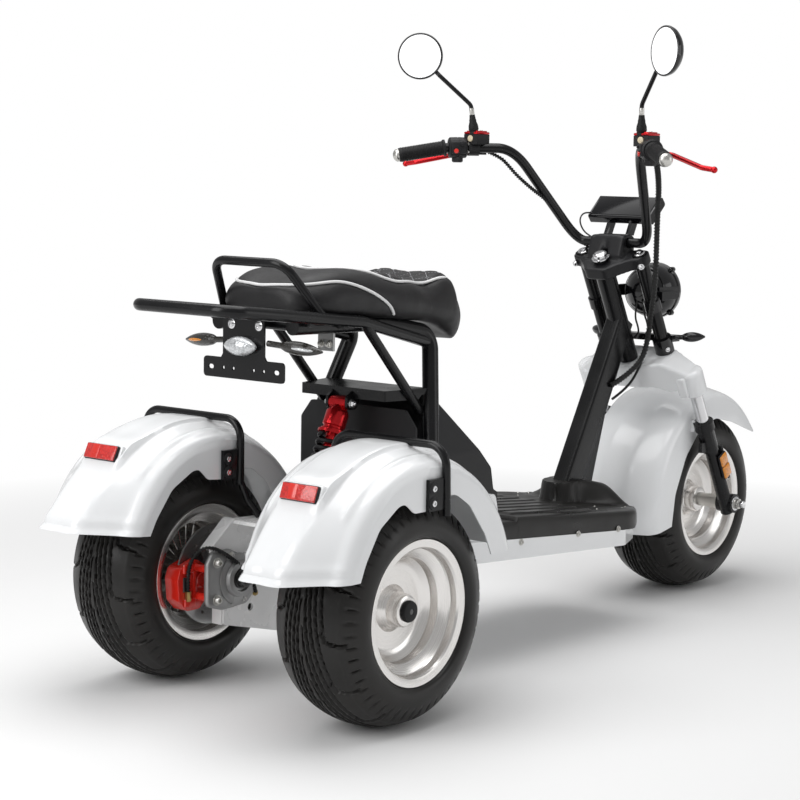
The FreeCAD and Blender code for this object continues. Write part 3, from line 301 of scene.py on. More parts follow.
def facet_group():
    """The small prisms moulded inside a lens."""
    group, ins, outs = new_group("lens_prisms", [
        ("Prism Scale", "NodeSocketFloat", 260.0),
        ("Height", "NodeSocketFloat", 0.6),
    ], [("Tone", "NodeSocketFloat"), ("Normal", "NodeSocketVector")])
    place = node(group, "ShaderNodeTexCoord").outputs["Object"]
    cells = node(group, "ShaderNodeTexVoronoi", [
        ("Vector", place), ("Scale", ins.outputs["Prism Scale"])],
        feature="F1", distance="CHEBYCHEV").outputs["Distance"]
    group.links.new(ramp(group, cells, 0.0, 0.7), outs.inputs["Tone"])
    bumped(group, outs, ins.outputs["Height"], 0.0012, cells)
    return group


GROUPS = {}


def group_named(maker):
    if maker.__name__ not in GROUPS:
        GROUPS[maker.__name__] = maker()
    return GROUPS[maker.__name__]


def use_group(tree, maker, **values):
    made = tree.nodes.new("ShaderNodeGroup")
    made.node_tree = group_named(maker)
    for key, value in values.items():
        made.inputs[key.replace("_", " ")].default_value = value
    return made


# Materials

FINISHES = {}


def new_material(name, **values):
    """A finish's tree and shader, with these plain values on the shader's sockets."""
    material = bpy.data.materials.new(name)
    material.use_nodes = True
    tree = material.node_tree
    shader = tree.nodes["Principled BSDF"]
    for key, value in values.items():
        shader.inputs[key.replace("_", " ")].default_value = value
    FINISHES[name] = material
    return tree, shader


def rgba(colour, factor=1.0):
    return (colour[0] * factor, colour[1] * factor, colour[2] * factor, 1)


def coated(name, colour, roughness, second=0.9, spread=0.08, grain=0.05, grain_scale=900.0,
           patch=12.0, **values):
    """Paint, plastic, rubber or a casting, from the shared finish group."""
    tree, shader = new_material(name, **values)
    finish = use_group(tree, finish_group, Color=rgba(colour), Second_Color=rgba(colour, second),
                       Roughness=roughness, Spread=spread, Patch_Scale=patch,
                       Grain_Scale=grain_scale, Grain_Height=grain)
    tree.links.new(finish.outputs["Color"], shader.inputs["Base Color"])
    tree.links.new(finish.outputs["Roughness"], shader.inputs["Roughness"])
    tree.links.new(finish.outputs["Normal"], shader.inputs["Normal"])


def turned_metal(name, centre, bright, dark, roughness, height):
    """Lathe-turned alloy about one axle."""
    tree, shader = new_material(name, Metallic=1.0)
    rings = use_group(tree, lathe_group, Centre=tuple(centre), Height=height)
    colour = mixed(tree, rings.outputs["Rings"], rgba(dark), rgba(bright))
    tree.links.new(colour, shader.inputs["Base Color"])
    rough = node(tree, "ShaderNodeMapRange", [
        ("Value", rings.outputs["Rings"]), ("From Min", 0.3), ("From Max", 0.7),
        ("To Min", roughness * 0.8), ("To Max", roughness * 1.25)])
    tree.links.new(rough.outputs["Result"], shader.inputs["Roughness"])
    tree.links.new(rings.outputs["Normal"], shader.inputs["Normal"])


def lens(name, colour, scale, **values):
    """Coloured plastic with small prisms moulded inside it."""
    tree, shader = new_material(name, **values)
    prisms = use_group(tree, facet_group, Prism_Scale=scale)
    tone = mixed(tree, prisms.outputs["Tone"], rgba(colour), rgba(colour, 0.55))
    tree.links.new(tone, shader.inputs["Base Color"])
    tree.links.new(prisms.outputs["Normal"], shader.inputs["Normal"])


def seat_vinyl():
    tree, shader = new_material("seat_vinyl", Base_Color=(0.0075, 0.0070, 0.0078, 1),
                                Specular_IOR_Level=0.36)
    cover = use_group(tree, leather_group)
    tree.links.new(cover.outputs["Roughness"], shader.inputs["Roughness"])
    tree.links.new(cover.outputs["Normal"], shader.inputs["Normal"])


def make_materials(paint):
    white, black, red = paint.white, paint.black, paint.red
    coated("white_paint", white, 0.24, second=0.985, spread=0.05, grain=0.015, grain_scale=300.0,
           patch=5.0, Coat_Weight=0.5, Coat_Roughness=0.08)
    coated("silver_paint", (0.87, 0.87, 0.87), 0.28, grain=0.03, Metallic=0.1)
    coated("black_paint", black, 0.24, second=1.5, grain=0.03, grain_scale=420.0,
           Specular_IOR_Level=0.3)
    coated("cast_black", (0.007, 0.007, 0.008), 0.42, second=1.35, grain=0.35, grain_scale=650.0,
           Specular_IOR_Level=0.3)
    coated("panel_black", (0.009, 0.009, 0.010), 0.45, second=1.2, grain=0.3, grain_scale=900.0,
           Specular_IOR_Level=0.3)
    coated("board_rubber", (0.007, 0.0065, 0.0060), 0.36, second=1.5, spread=0.2, grain=0.2,
           grain_scale=420.0, Specular_IOR_Level=0.34)
    coated("grip_rubber", (0.006, 0.006, 0.0065), 0.55, second=1.3, grain=0.3,
           Specular_IOR_Level=0.3)
    coated("tyre_rubber", (0.0075, 0.0068, 0.0062), 0.42, second=2.2, spread=0.25, grain=0.25,
           grain_scale=320.0, patch=9.0, Specular_IOR_Level=0.36)
    coated("gloss_black", (0.004, 0.004, 0.005), 0.12, spread=0.06, grain=0.01, Coat_Weight=0.35,
           Specular_IOR_Level=0.35)
    coated("cable_black", (0.006, 0.006, 0.006), 0.40, second=1.4, grain=0.25,
           Specular_IOR_Level=0.38)
    coated("red_paint", red, 0.24, second=0.85, grain=0.06, Coat_Weight=0.6)
    coated("red_metal", (0.62, 0.012, 0.018), 0.22, second=0.85, grain=0.03, Metallic=0.7)
    coated("bright_steel", (0.75, 0.75, 0.76), 0.14, second=0.93, spread=0.08, grain=0.03,
           Metallic=1.0)
    coated("zinc_steel", (0.62, 0.61, 0.58), 0.32, second=0.85, spread=0.14, grain=0.12,
           Metallic=1.0)
    coated("dark_steel", (0.10, 0.10, 0.10), 0.36, second=1.4, grain=0.12, Metallic=0.9)
    coated("cast_alloy", (0.42, 0.42, 0.42), 0.42, second=0.8, grain=0.45, grain_scale=520.0,
           Metallic=0.85)
    coated("brass", (0.50, 0.36, 0.14), 0.34, second=0.8, grain=0.1, Metallic=1.0)
    coated("white_piping", (0.80, 0.80, 0.80), 0.42, second=0.96, grain=0.12)
    coated("thread_grey", (0.42, 0.42, 0.44), 0.8, grain=0.3)
    coated("cream_window", (0.70, 0.60, 0.42), 0.25, grain=0.05)
    for name, (centre, _) in WHEELS.items():
        turned_metal(name + "_rim", centre, (0.86, 0.84, 0.82), (0.74, 0.72, 0.70), 0.24, 0.10)
        turned_metal(name + "_disc", centre, (0.50, 0.50, 0.50), (0.34, 0.34, 0.34), 0.30, 0.25)
    lens("red_lens", (0.74, 0.015, 0.01), 240.0, Roughness=0.12, Coat_Weight=0.8)
    lens("amber_lens", paint.amber, 240.0, Roughness=0.14, Coat_Weight=0.8)
    lens("clear_lens", (0.80, 0.82, 0.84), 190.0, Roughness=0.10, Metallic=0.35, Coat_Weight=0.8)
    lens("smoked_lens", (0.020, 0.017, 0.013), 300.0, Roughness=0.16, Coat_Weight=0.4)
    # The mirror glass glows white by emission: a painted reflection, not a lamp.
    new_material("mirror_glass_painted_glow", Base_Color=(0.9, 0.91, 0.92, 1), Roughness=0.05,
                 Emission_Color=(1, 1, 1, 1), Emission_Strength=0.42)
    new_material("screen_glass", Base_Color=(0.003, 0.003, 0.004, 1), Roughness=0.14,
                 Specular_IOR_Level=0.2)
    seat_vinyl()


# Meshes and pieces


def axis_matrix(place, direction, turn=0.0):
    """A matrix that puts +Z along a direction at a place."""
    turn_to = Vector(direction).to_track_quat("Z", "Y").to_matrix().to_4x4()
    return Matrix.Translation(place) @ turn_to @ Matrix.Rotation(turn, 4, "Z")


def piece(name, bm, body, finish, replaces=(), sharp=35.0):
    """A finished mesh piece, riding on a body."""
    mesh = bpy.data.meshes.new(name)
    bm.to_mesh(mesh)
    bm.free()
    return placed(name, mesh, body, finish, replaces, sharp)


def placed(name, mesh, body, finish, replaces=(), sharp=35.0):
    """A finished piece from a mesh, smooth up to an angle, riding on a body if one is named."""
    mesh.shade_smooth()
    mesh.set_sharp_from_angle(angle=math.radians(sharp))
    mesh.materials.clear()
    mesh.materials.append(FINISHES[finish])
    made = bpy.data.objects.new(name, mesh)
    bpy.context.scene.collection.objects.link(made)
    if body:
        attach(made, body)
    if replaces:
        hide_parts(*replaces)
    return made


def lathe(bm, profile, centre, axis, steps=48, closed=False):
    """A turned shape from (along, radius) pairs in millimetres."""
    along = Vector(axis).normalized()
    side = along.orthogonal().normalized()
    verts = [bm.verts.new(Vector(centre) + along * a * MM + side * r * MM) for a, r in profile]
    pairs = list(zip(verts, verts[1:]))
    if closed:
        pairs.append((verts[-1], verts[0]))
    edges = [bm.edges.new(pair) for pair in pairs]
    bmesh.ops.spin(bm, geom=verts + edges, cent=centre, axis=along, angle=2 * math.pi, steps=steps,
                   use_merge=True, use_duplicate=False)
    bmesh.ops.remove_doubles(bm, verts=bm.verts, dist=1e-6)


def shaped_grid(bm, columns, rows, place):
    """A sheet of quads whose corners go where place(column, row) says."""
    made = bmesh.ops.create_grid(bm, x_segments=columns, y_segments=rows, size=1.0)["verts"]
    for v in made:
        v.co = place(round((v.co.x + 1) * columns / 2), round((v.co.y + 1) * rows / 2))


def open_edges(bm):
    return [e for e in bm.edges if e.is_boundary]


def outward(bm):
    bmesh.ops.recalc_face_normals(bm, faces=bm.faces)


def block(bm, size, matrix, radius=0.0, segments=2):
    """A box of a size in millimetres, its edges rounded."""
    made = bmesh.ops.create_cube(bm, size=1.0)["verts"]
    bmesh.ops.scale(bm, vec=[s * MM for s in size], verts=made)
    if radius:
        edges = list({e for v in made for e in v.link_edges})
        made = bmesh.ops.bevel(
            bm, geom=edges, offset=radius * MM, affect="EDGES", segments=segments, profile=0.5,
            material=-1, clamp_overlap=True)["verts"]
    bmesh.ops.transform(bm, matrix=matrix, verts=made)


def rod(bm, start, end, radius, segments=20, bevel=0.0):
    """A round bar between two points in metres; radius and bevel in millimetres."""
    a, b = Vector(start), Vector(end)
    made = bmesh.ops.create_cone(
        bm, cap_ends=True, segments=segments, radius1=radius * MM,
        radius2=radius * MM, depth=(b - a).length,
        matrix=axis_matrix((a + b) / 2, b - a))["verts"]
    if bevel:
        rims = [e for e in {e for v in made for e in v.link_edges}
                if len(e.link_faces) == 2 and any(len(f.verts) > 4 for f in e.link_faces)]
        bmesh.ops.bevel(bm, geom=rims, offset=bevel * MM, affect="EDGES", segments=2, profile=0.5,
                        material=-1)


def hex_bolt(bm, place, direction, across=10.0, height=6.0, washer=0.0, stub=0.0):
    """A hexagon head, with a washer under it and a thread end over it if asked."""
    out = Vector(direction).normalized()
    base = Vector(place)
    if washer:
        rod(bm, base - out * 0.5 * MM, base + out * 1.6 * MM, washer / 2, 28, bevel=0.4)
        base = base + out * 1.6 * MM
    rod(bm, base - out * 0.5 * MM, base + out * height * MM, across / math.sqrt(3), 6, bevel=0.7)
    if stub:
        rod(bm, base, base + out * (height + stub) * MM, across * 0.3, 14, bevel=0.5)


def socket_bolt(bm, place, direction, radius=5.0, height=5.0, washer=0.0):
    """A round head with a hexagon socket, on a washer if asked."""
    out = Vector(direction).normalized()
    base = Vector(place)
    if washer:
        rod(bm, base - out * 0.5 * MM, base + out * 1.4 * MM, washer, 28, bevel=0.4)
        base = base + out * 1.4 * MM
    lathe(bm, [(0, radius), (height * 0.75, radius), (height, radius * 0.82),
               (height, radius * 0.5), (height * 0.45, radius * 0.45), (height * 0.45, 0)],
          base, out, 24)


def dome_bolt(bm, place, direction, radius=6.0, height=3.0):
    lathe(bm, [(-0.5, radius), (0.4, radius), (height * 0.7, radius * 0.75),
               (height, radius * 0.4), (height * 0.7, radius * 0.3), (height * 0.7, 0)],
          place, direction, 20)


def spline_mesh(name, points, radius, cyclic=False, resolution=8, sides=4, order=3, kind="NURBS",
                bevel=True):
    """A round cord along control points, as a mesh."""
    curve = bpy.data.curves.new(name, "CURVE")
    curve.dimensions = "3D"
    curve.resolution_u = resolution
    if bevel:
        curve.bevel_depth = radius
        curve.bevel_resolution = sides
        curve.use_fill_caps = not cyclic
    spline = curve.splines.new(kind)
    spline.points.add(len(points) - 1)
    for made, point in zip(spline.points, points):
        made.co = (*point, 1)
    if kind == "NURBS":
        spline.order_u = order
        spline.use_endpoint_u = not cyclic
    spline.use_cyclic_u = cyclic
    holder = bpy.data.objects.new(name, curve)
    bpy.context.scene.collection.objects.link(holder)
    graph = bpy.context.evaluated_depsgraph_get()
    mesh = bpy.data.meshes.new_from_object(holder.evaluated_get(graph))
    bpy.data.objects.remove(holder)
    bpy.data.curves.remove(curve)
    return mesh


def centre_line(points, resolution=12):
    """The points of a route's smooth line, read from its spline."""
    mesh = spline_mesh("route", points, 0, resolution=resolution, bevel=False)
    line = [v.co.copy() for v in mesh.vertices]
    bpy.data.meshes.remove(mesh)
    return line


def closed_cord(name, points, radius, body, finish, **options):
    """A round cord along control points, as a finished piece."""
    mesh = spline_mesh(name, points, radius, **options)
    return placed(name, mesh, body, finish, sharp=60.0)


def skin_of(name):
    """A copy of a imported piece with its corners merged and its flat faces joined."""
    bm = bmesh.new()
    bm.from_mesh(frame["nodes"][name].data)
    bmesh.ops.remove_doubles(bm, verts=bm.verts, dist=2e-6)
    bmesh.ops.dissolve_limit(bm, angle_limit=math.radians(0.2), verts=bm.verts, edges=bm.edges)
    return bm


def softened(name, size, rounds):
    """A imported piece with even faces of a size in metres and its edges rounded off."""
    bm = skin_of(name)
    mesh = bpy.data.meshes.new(name + "_shape")
    bm.to_mesh(mesh)
    bm.free()
    holder = bpy.data.objects.new(name + "_shape", mesh)
    bpy.context.scene.collection.objects.link(holder)
    even = holder.modifiers.new("even", "REMESH")
    even.mode = "VOXEL"
    even.voxel_size = size
    graph = bpy.context.evaluated_depsgraph_get()
    made = bpy.data.meshes.new_from_object(holder.evaluated_get(graph))
    bpy.data.objects.remove(holder)
    bm = bmesh.new()
    bm.from_mesh(made)
    for _ in range(rounds):
        bmesh.ops.smooth_vert(bm, verts=bm.verts, factor=0.5, use_axis_x=True, use_axis_y=True,
                              use_axis_z=True)
    bm.to_mesh(made)
    bm.free()
    return made


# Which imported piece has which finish

NODE_FINISH = {
    "white_paint": ["front_fender", "floor_tray"],
    "silver_paint": ["swing_arm"],
    "black_paint": ["main_frame", "seat_frame", "rear_rack", "fender_guards", "fork_tubes",
                    "plate_bracket", "fork_legs", "mirrors"],
    "cast_black": ["steering_stem", "shock_spring"],
    "panel_black": ["battery_box", "master_cylinders"],
    "cast_alloy": ["seat_latch"],
    "dark_steel": ["rear_axles"],
    "zinc_steel": ["front_axle"],
    "bright_steel": ["fork_stanchions"],
    "red_paint": ["rear_calipers", "front_caliper"],
    "red_metal": ["brake_levers", "rear_shock"],
    "gloss_black": ["headlight", "display", "front_indicators"],
    "clear_lens": ["tail_light"],
    "smoked_lens": ["rear_indicators"],
    "rear_left_disc": ["rear_left_disc"],
    "rear_right_disc": ["rear_right_disc"],
    "front_disc": ["front_disc"],
}
BODY_OF = {member: body for body, members in frame["record"]["behaviour"]["bodies"].items()
           for member in members}


# The block at the foot of the down tube, and the height it is lowered to

FOOT_X = (915, 1055)
FOOT_HALF = 62
FOOT_TOP = 302
FOOT_SUNK = 268


class SCOOTER_OT_skins(bpy.types.Operator):
    """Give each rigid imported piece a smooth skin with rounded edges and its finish"""
    bl_idname = "scooter.skins"
    bl_label = "Skins"

    def execute(self, context):
        paint = context.scene.scooter_paint
        for finish, names in NODE_FINISH.items():
            for name in names:
                skin = skin_of(name)
                if name == "main_frame":
                    self.sink_foot(skin)
                made = piece(name + "_skin", skin, BODY_OF[name], finish, replaces=[name],
                             sharp=32.0)
                rounded = made.modifiers.new("edges", "BEVEL")
                rounded.width = paint.edge_radius
                rounded.segments = 2
                rounded.limit_method = "ANGLE"
                rounded.angle_limit = math.radians(38)
                rounded.harden_normals = True
        return {"FINISHED"}

    def sink_foot(self, bm):
        """Keep the block at the foot of the down tube under the mat."""
        for v in bm.verts:
            x, y, z = (v.co.x - REAR_X) / MM, v.co.y / MM, v.co.z / MM
            if FOOT_X[0] < x < FOOT_X[1] and abs(y) < FOOT_HALF and FOOT_SUNK < z < FOOT_TOP:
                v.co.z = FOOT_SUNK * MM


# Tyres: a smooth casing whose tread is cut by grooves that sweep out to the shoulders


def smooth_step(value, low, high):
    t = max(0.0, min(1.0, (value - low) / (high - low)))
    return t * t * (3 - 2 * t)


TREAD_HALF = 94.0
TREAD_FLAT = 72.0
CROWN_FALL = 17.0
SHOULDER_FALL = 23.5
TREAD_ROWS = 88
SWEEP_TURN = math.radians(118)
HOOK_FROM = 50.0
HOOK_TO = 90.0


def groove_cut(turn, y, settings):
    """How far the tread is cut at this angle and this distance from the middle, 0 to 1."""
    side = 1 if y >= 0 else -1
    pitch = 2 * math.pi / settings.repeats
    half = settings.groove_width / MM / 2
    away = abs(y)
    shifted = turn + (0 if side > 0 else pitch / 2)
    cut = 0.0
    first = math.floor((shifted - SWEEP_TURN * 1.15) / pitch)
    for k in range(first, first + int(SWEEP_TURN * 1.3 / pitch) + 3):
        along = (shifted - k * pitch) / SWEEP_TURN
        if 0 < along < 1:
            line = 3 + (HOOK_FROM - 3) * along ** 1.2
            width = half * min(1.0, 0.35 + along * 3)
            cut = max(cut, 1 - smooth_step(abs(away - line), width * 0.55, width * 1.25))
        if away > HOOK_FROM - 8:
            bend = (1 - math.exp(-(away - HOOK_FROM + 8) / 9.0)) * 0.055
            off = abs(along - 0.955 - bend) * SWEEP_TURN * TYRE_RADIUS / MM
            if away < HOOK_TO:
                cut = max(cut, (1 - smooth_step(off, half * 0.55, half * 1.25))
                          * (1 - smooth_step(away, HOOK_TO - 6, HOOK_TO)))
    notch_pitch = pitch / 4
    if 80 < away < 99:
        off = abs((shifted / notch_pitch) % 1 - 0.5) * notch_pitch * 200
        cut = max(cut, 0.5 * (1 - smooth_step(off, 1.0, 2.2)) * smooth_step(away, 80, 84)
                  * (1 - smooth_step(away, 94, 98)))
    return cut


def tyre_profile():
    """Half of a tyre's closed section as (across, radius) pairs, the tread finely divided."""
    top = TYRE_RADIUS / MM
    rows = [(-84.5, 127), (-90, 133), (-90.2, 143), (-97, 144.5), (-101.5, 148.5), (-103.0, 156.5),
            (-103.4, 163), (-102.2, 170), (-99.6, 178), (-97, 184)]
    fine = []
    for i in range(TREAD_ROWS + 1):
        y = -TREAD_HALF + 2 * TREAD_HALF * i / TREAD_ROWS
        a = abs(y)
        if a < TREAD_FLAT:
            r = top - CROWN_FALL * (a / TREAD_FLAT) ** 2.1
        else:
            share = (a - TREAD_FLAT) / (TREAD_HALF - TREAD_FLAT)
            r = top - CROWN_FALL - SHOULDER_FALL * share ** 1.55
        fine.append((y, r))
    inner = [(78, 130), (86, 150), (88, 166), (74, 194), (40, 212), (0, 215), (-40, 212),
             (-74, 194), (-88, 166), (-86, 150), (-78, 130)]
    return rows + fine + [(-y, r) for y, r in reversed(rows)] + inner


class SCOOTER_OT_tyres(bpy.types.Operator):
    """Spin the three tyres and cut their treads"""
    bl_idname = "scooter.tyres"
    bl_label = "Tyres"

    def execute(self, context):
        settings = context.scene.scooter_tyre
        steps = settings.steps
        bm = bmesh.new()
        lathe(bm, tyre_profile(), Vector((0, 0, 0)), Vector((0, 1, 0)), steps, closed=True)
        for v in bm.verts:
            out = Vector((v.co.x, 0, v.co.z))
            r = out.length
            if r < 0.181 or abs(v.co.y) > 0.0995:
                continue
            turn = math.atan2(v.co.z, v.co.x) % (2 * math.pi)
            cut = groove_cut(turn, v.co.y / MM, settings)
            inward = out.normalized()
            if abs(v.co.y) > 0.085:
                inward = (inward + Vector((0, math.copysign(1.0, v.co.y), 0))).normalized()
            v.co -= inward * cut * settings.groove_depth
        outward(bm)
        shape = bpy.data.meshes.new("tyre_shape")
        bm.to_mesh(shape)
        bm.free()
        for name, (centre, _) in WHEELS.items():
            mesh = shape.copy()
            turn = Matrix.Rotation(math.radians(17 if name == "front" else 0), 4, "Y")
            mesh.transform(Matrix.Translation(centre) @ turn)
            placed(name + "_tread", mesh, name + "_wheel", "tyre_rubber",
                   [name + "_tyre"], sharp=50.0)
        return {"FINISHED"}


# Rims


def rim_profile():
    """The dished rim's closed section, along the axle from the wheel's middle."""
    return [(95, 141), (93.6, 142.4), (90.6, 142), (90, 140), (90, 127), (71, 127), (59, 105),
            (-59, 105), (-71, 127), (-90, 127), (-90, 140), (-90.6, 142), (-93.6, 142.4),
            (-95, 141), (-95, 137), (-91, 124), (-73, 123), (-61, 101), (12, 101), (20, 90),
            (18, 44), (-4, 36), (-66, 36), (-66, 12.6), (66, 12.6), (66, 27), (64.5, 30),
            (60, 32), (40, 34), (26, 46), (27, 78), (29, 87), (33, 92), (41, 101), (59.5, 101),
            (62, 103), (71, 121), (74, 123), (88, 123), (92, 126), (95, 137)]


class SCOOTER_OT_rims(bpy.types.Operator):
    """Turn the three rims, with their caps, bolts and cooling fins"""
    bl_idname = "scooter.rims"
    bl_label = "Rims"

    def execute(self, context):
        for name, (centre, facing) in WHEELS.items():
            bm = bmesh.new()
            lathe(bm, rim_profile(), centre, Vector((0, facing, 0)), 144, closed=True)
            outward(bm)
            piece(name + "_rim_turned", bm, name + "_wheel", name + "_rim",
                  [name + "_rim"], sharp=28.0)
        for name in ("rear_left", "rear_right"):
            centre, facing = WHEELS[name]
            self.inner_face(name, centre, facing)
            cap = bmesh.new()
            lathe(cap, [(65, 12.6), (66.2, 21), (71, 21.5), (75, 19.5), (77, 14), (77.6, 6),
                        (75, 4), (75, 0)], centre, Vector((0, facing, 0)), 40)
            outward(cap)
            piece(name + "_axle_cap", cap, "chassis", "grip_rubber")
        return {"FINISHED"}

    def inner_face(self, name, centre, facing):
        """Fins and small bolts round the hidden side of a hub."""
        bm = bmesh.new()
        inside = Vector((0, -facing, 0))
        for i in range(24):
            turn = Matrix.Rotation(2 * math.pi * i / 24, 4, "Y")
            arm = Matrix.Translation(centre) @ turn
            middle = arm @ Matrix.Translation((0.069, inside.y * 0.022, 0))
            block(bm, (44, 26, 3.2), middle, 1.0, 1)
        lathe(bm, [(0, 92), (30, 92), (32, 94), (32, 99), (30, 100.8), (0, 100.8)], centre,
              inside, 96)
        outward(bm)
        piece(name + "_fins", bm, name + "_wheel", name + "_rim")
        bolts = bmesh.new()
        for i in range(12):
            turn = 2 * math.pi * (i + 0.3) / 12
            place = centre + inside * 0.032 + Vector((math.cos(turn), 0, math.sin(turn))) * 0.0962
            socket_bolt(bolts, place, inside, 3.6, 3.4)
        outward(bolts)
        piece(name + "_hub_bolts", bolts, name + "_wheel", "zinc_steel")


# Rear mudguards, drawn as a raised panel over a rounded section

FENDER_Y = 265.0
FENDER_HALF = 130.0
FENDER_TOP = 311.0
FENDER_WALL = 3.0
FENDER_TRIM = (88.5, 90.5)
FLANGE_BOLT_Z = 460.0
LEFT_TILT = math.radians(5)
FENDER_CROWN = [(8, -6), (35, -2), (65, 0), (90, 0), (110, 0), (125, 0), (140, 3), (152, 12),
                (162, 24), (172, 38)]
FENDER_SHOULDER = [(8, -24), (35, -20), (65, -16), (90, -16), (110, -19), (125, -24), (140, -32),
                   (152, -39), (162, -40), (172, -39)]
FENDER_EDGE = [(8, -48), (35, -40), (65, -33), (90, -32), (110, -42), (125, -54), (140, -66),
               (152, -73), (162, -76), (172, -76)]
WHEEL_ARCH = [(-214, 40), (-205, 70.5), (-183, 122.5), (-145, 181.5), (-89, 218.5), (-66, 218.5),
              (-50, 198.5), (31, 198.5), (50, 220.5), (80, 220.5), (124, 194.5), (176, 130.5),
              (206, 70.5), (214, 40)]


def eased(table, x):
    """A smooth curve through (x, value) pairs."""
    if x <= table[0][0]:
        return table[0][1]
    if x >= table[-1][0]:
        return table[-1][1]
    slopes = []
    for i in range(len(table)):
        a, b = table[max(i - 1, 0)], table[min(i + 1, len(table) - 1)]
        slopes.append((b[1] - a[1]) / (b[0] - a[0]))
    for i, ((x0, v0), (x1, v1)) in enumerate(zip(table, table[1:])):
        if x <= x1:
            d = x1 - x0
            t = (x - x0) / d
            return ((2 * t ** 3 - 3 * t ** 2 + 1) * v0 + (t ** 3 - 2 * t ** 2 + t) * d * slopes[i]
                    + (3 * t ** 2 - 2 * t ** 3) * v1 + (t ** 3 - t ** 2) * d * slopes[i + 1])


def fender_turn(side):
    """The left mudguard leans forward a little on its bolts."""
    if side < 0:
        return Matrix.Identity(4)
    pivot = Matrix.Translation(at(0, 0, FLANGE_BOLT_Z))
    return pivot @ Matrix.Rotation(LEFT_TILT, 4, "Y") @ pivot.inverted()


def arch_radius(degrees):
    """How far the wheel arch's rim lies from the axle at this angle."""
    turn = math.radians(degrees)
    ray = Vector((math.cos(turn), math.sin(turn)))
    for (x0, z0), (x1, z1) in zip(WHEEL_ARCH, WHEEL_ARCH[1:]):
        along = Vector((x1 - x0, z1 - z0))
        cross = ray.x * along.y - ray.y * along.x
        if abs(cross) < 1e-9:
            continue
        share = (x0 * ray.y - z0 * ray.x) / cross
        far = (x0 * along.y - z0 * along.x) / cross
        if 0 <= share <= 1 and far > 0:
            return far
    return -WHEEL_ARCH[0][0]


def fender_radius(degrees, across):
    """Distance of the mudguard's outside from the axle; across runs from -1 to 1."""
    f = abs(across)
    crown = FENDER_TOP + eased(FENDER_CROWN, degrees)
    shoulder = FENDER_TOP + eased(FENDER_SHOULDER, degrees)
    edge = FENDER_TOP + eased(FENDER_EDGE, degrees)
    fall = crown - shoulder
    r = eased([(-0.35, crown - 1), (0, crown), (0.35, crown - 1), (0.55, crown - 0.45 * fall),
               (0.77, shoulder), (0.93, shoulder - 0.4 * (shoulder - edge)), (1.0, edge)], f)
    panel = 1 - smooth_step(f, 0.38, 0.43)
    lifted = smooth_step(degrees, 14, 30) * (1 - smooth_step(degrees, 133, 138))
    r += panel * (7.0 * lifted + 9.0 * math.exp(-((degrees - 126) / 6) ** 2))
    r += 3.4 * math.exp(-((f - 0.72) / 0.045) ** 2) * lifted
    if degrees > 100:
        over = r * math.sin(math.radians(degrees)) - FENDER_TRIM[1]
        r += 2.6 * math.exp(-((over - 25) / 8) ** 2) - 2.0 * math.exp(-((over - 13) / 4) ** 2)
        r += 4.5 * (1 - smooth_step(over, 0, 11))
    return r


class SCOOTER_OT_fenders(bpy.types.Operator):
    """Press the two rear mudguards, with their raised panels, creases and flared lips"""
    bl_idname = "scooter.fenders"
    bl_label = "Rear mudguards"

    def execute(self, context):
        coarse = 1
        columns = self.columns(72 // coarse)
        rows = 120 // coarse
        bm = bmesh.new()
        for side in (-1, 1):
            for wall in (0, FENDER_WALL):
                self.sheet(bm, columns, rows, side, wall)
            bmesh.ops.bridge_loops(bm, edges=open_edges(bm))
        outward(bm)
        piece("rear_mudguards", bm, "chassis", "white_paint", ["rear_fenders"],
              sharp=40.0)
        return {"FINISHED"}

    def columns(self, count):
        """(place across, share of the way down the upright side) for each column."""
        down = [1.0, 0.8, 0.6, 0.4, 0.2]
        return ([(-1.0, g) for g in down] + [(-1 + 2 * i / count, 0.0) for i in range(count + 1)]
                + [(1.0, g) for g in reversed(down)])

    def reach(self, degrees, across, down, wall):
        """Distance of one skin from the axle, eased over to the wheel arch on its way down."""
        r = fender_radius(degrees, across) - wall
        if down:
            soft = sum(arch_radius(degrees + d) for d in (-2, -1, 0, 1, 2)) / 5
            r += (soft - r) * down
        return r

    def trimmed(self, across, down, wall, low, high, trim):
        """The angle at which a column meets its straight lower edge."""
        for _ in range(22):
            middle = (low + high) / 2
            height = self.reach(middle, across, down, wall) * math.sin(math.radians(middle))
            if height > trim:
                low = middle
            else:
                high = middle
        return low

    def sheet(self, bm, columns, rows, side, wall):
        """One skin of a mudguard: wall is its distance inside the outer one."""
        ends = [(self.trimmed(across, down, wall, 60, 6, FENDER_TRIM[0]),
                 self.trimmed(across, down, wall, 120, 176, FENDER_TRIM[1]))
                for across, down in columns]
        turned_to = fender_turn(side)

        def place(column, row):
            across, down = columns[column]
            front, rear = ends[column]
            degrees = front + (rear - front) * row / rows
            r = self.reach(degrees, across, down, wall)
            turn = math.radians(degrees)
            y = FENDER_Y + across * (FENDER_HALF - wall)
            return turned_to @ at(r * math.cos(turn), side * y,
                                  AXLE_Z / MM + r * math.sin(turn))

        shaped_grid(bm, len(columns) - 1, rows, place)


# Footboard: a ribbed mat with a collar round the tube's foot that runs out forward

MAT_REAR, MAT_FRONT = 502.0, 1098.0
COLLAR_X, COLLAR_RADIUS = 1004.0, 46.0
HOOD_HEIGHT = 47.0
RIB_PITCH, RIB_HEIGHT = 42.0, 4.5
MAT_ROLL = 12.0
FLOOR_SLOPE = math.radians(4.8)


def mat_top(x):
    return 320.0 - (x - 565.0) * 0.0905


def mat_half(x):
    return 199.0 - 50.0 * smooth_step(x, 985, 1125) ** 1.4


def mat_under(x):
    return 305 - (x - 330) * math.tan(FLOOR_SLOPE) - 11.5


def rolled(inside):
    """How far the mat's edge has rolled down, this far inside its outline."""
    short = max(0.0, MAT_ROLL - inside)
    return MAT_ROLL - math.sqrt(max(0.0, MAT_ROLL ** 2 - short ** 2))


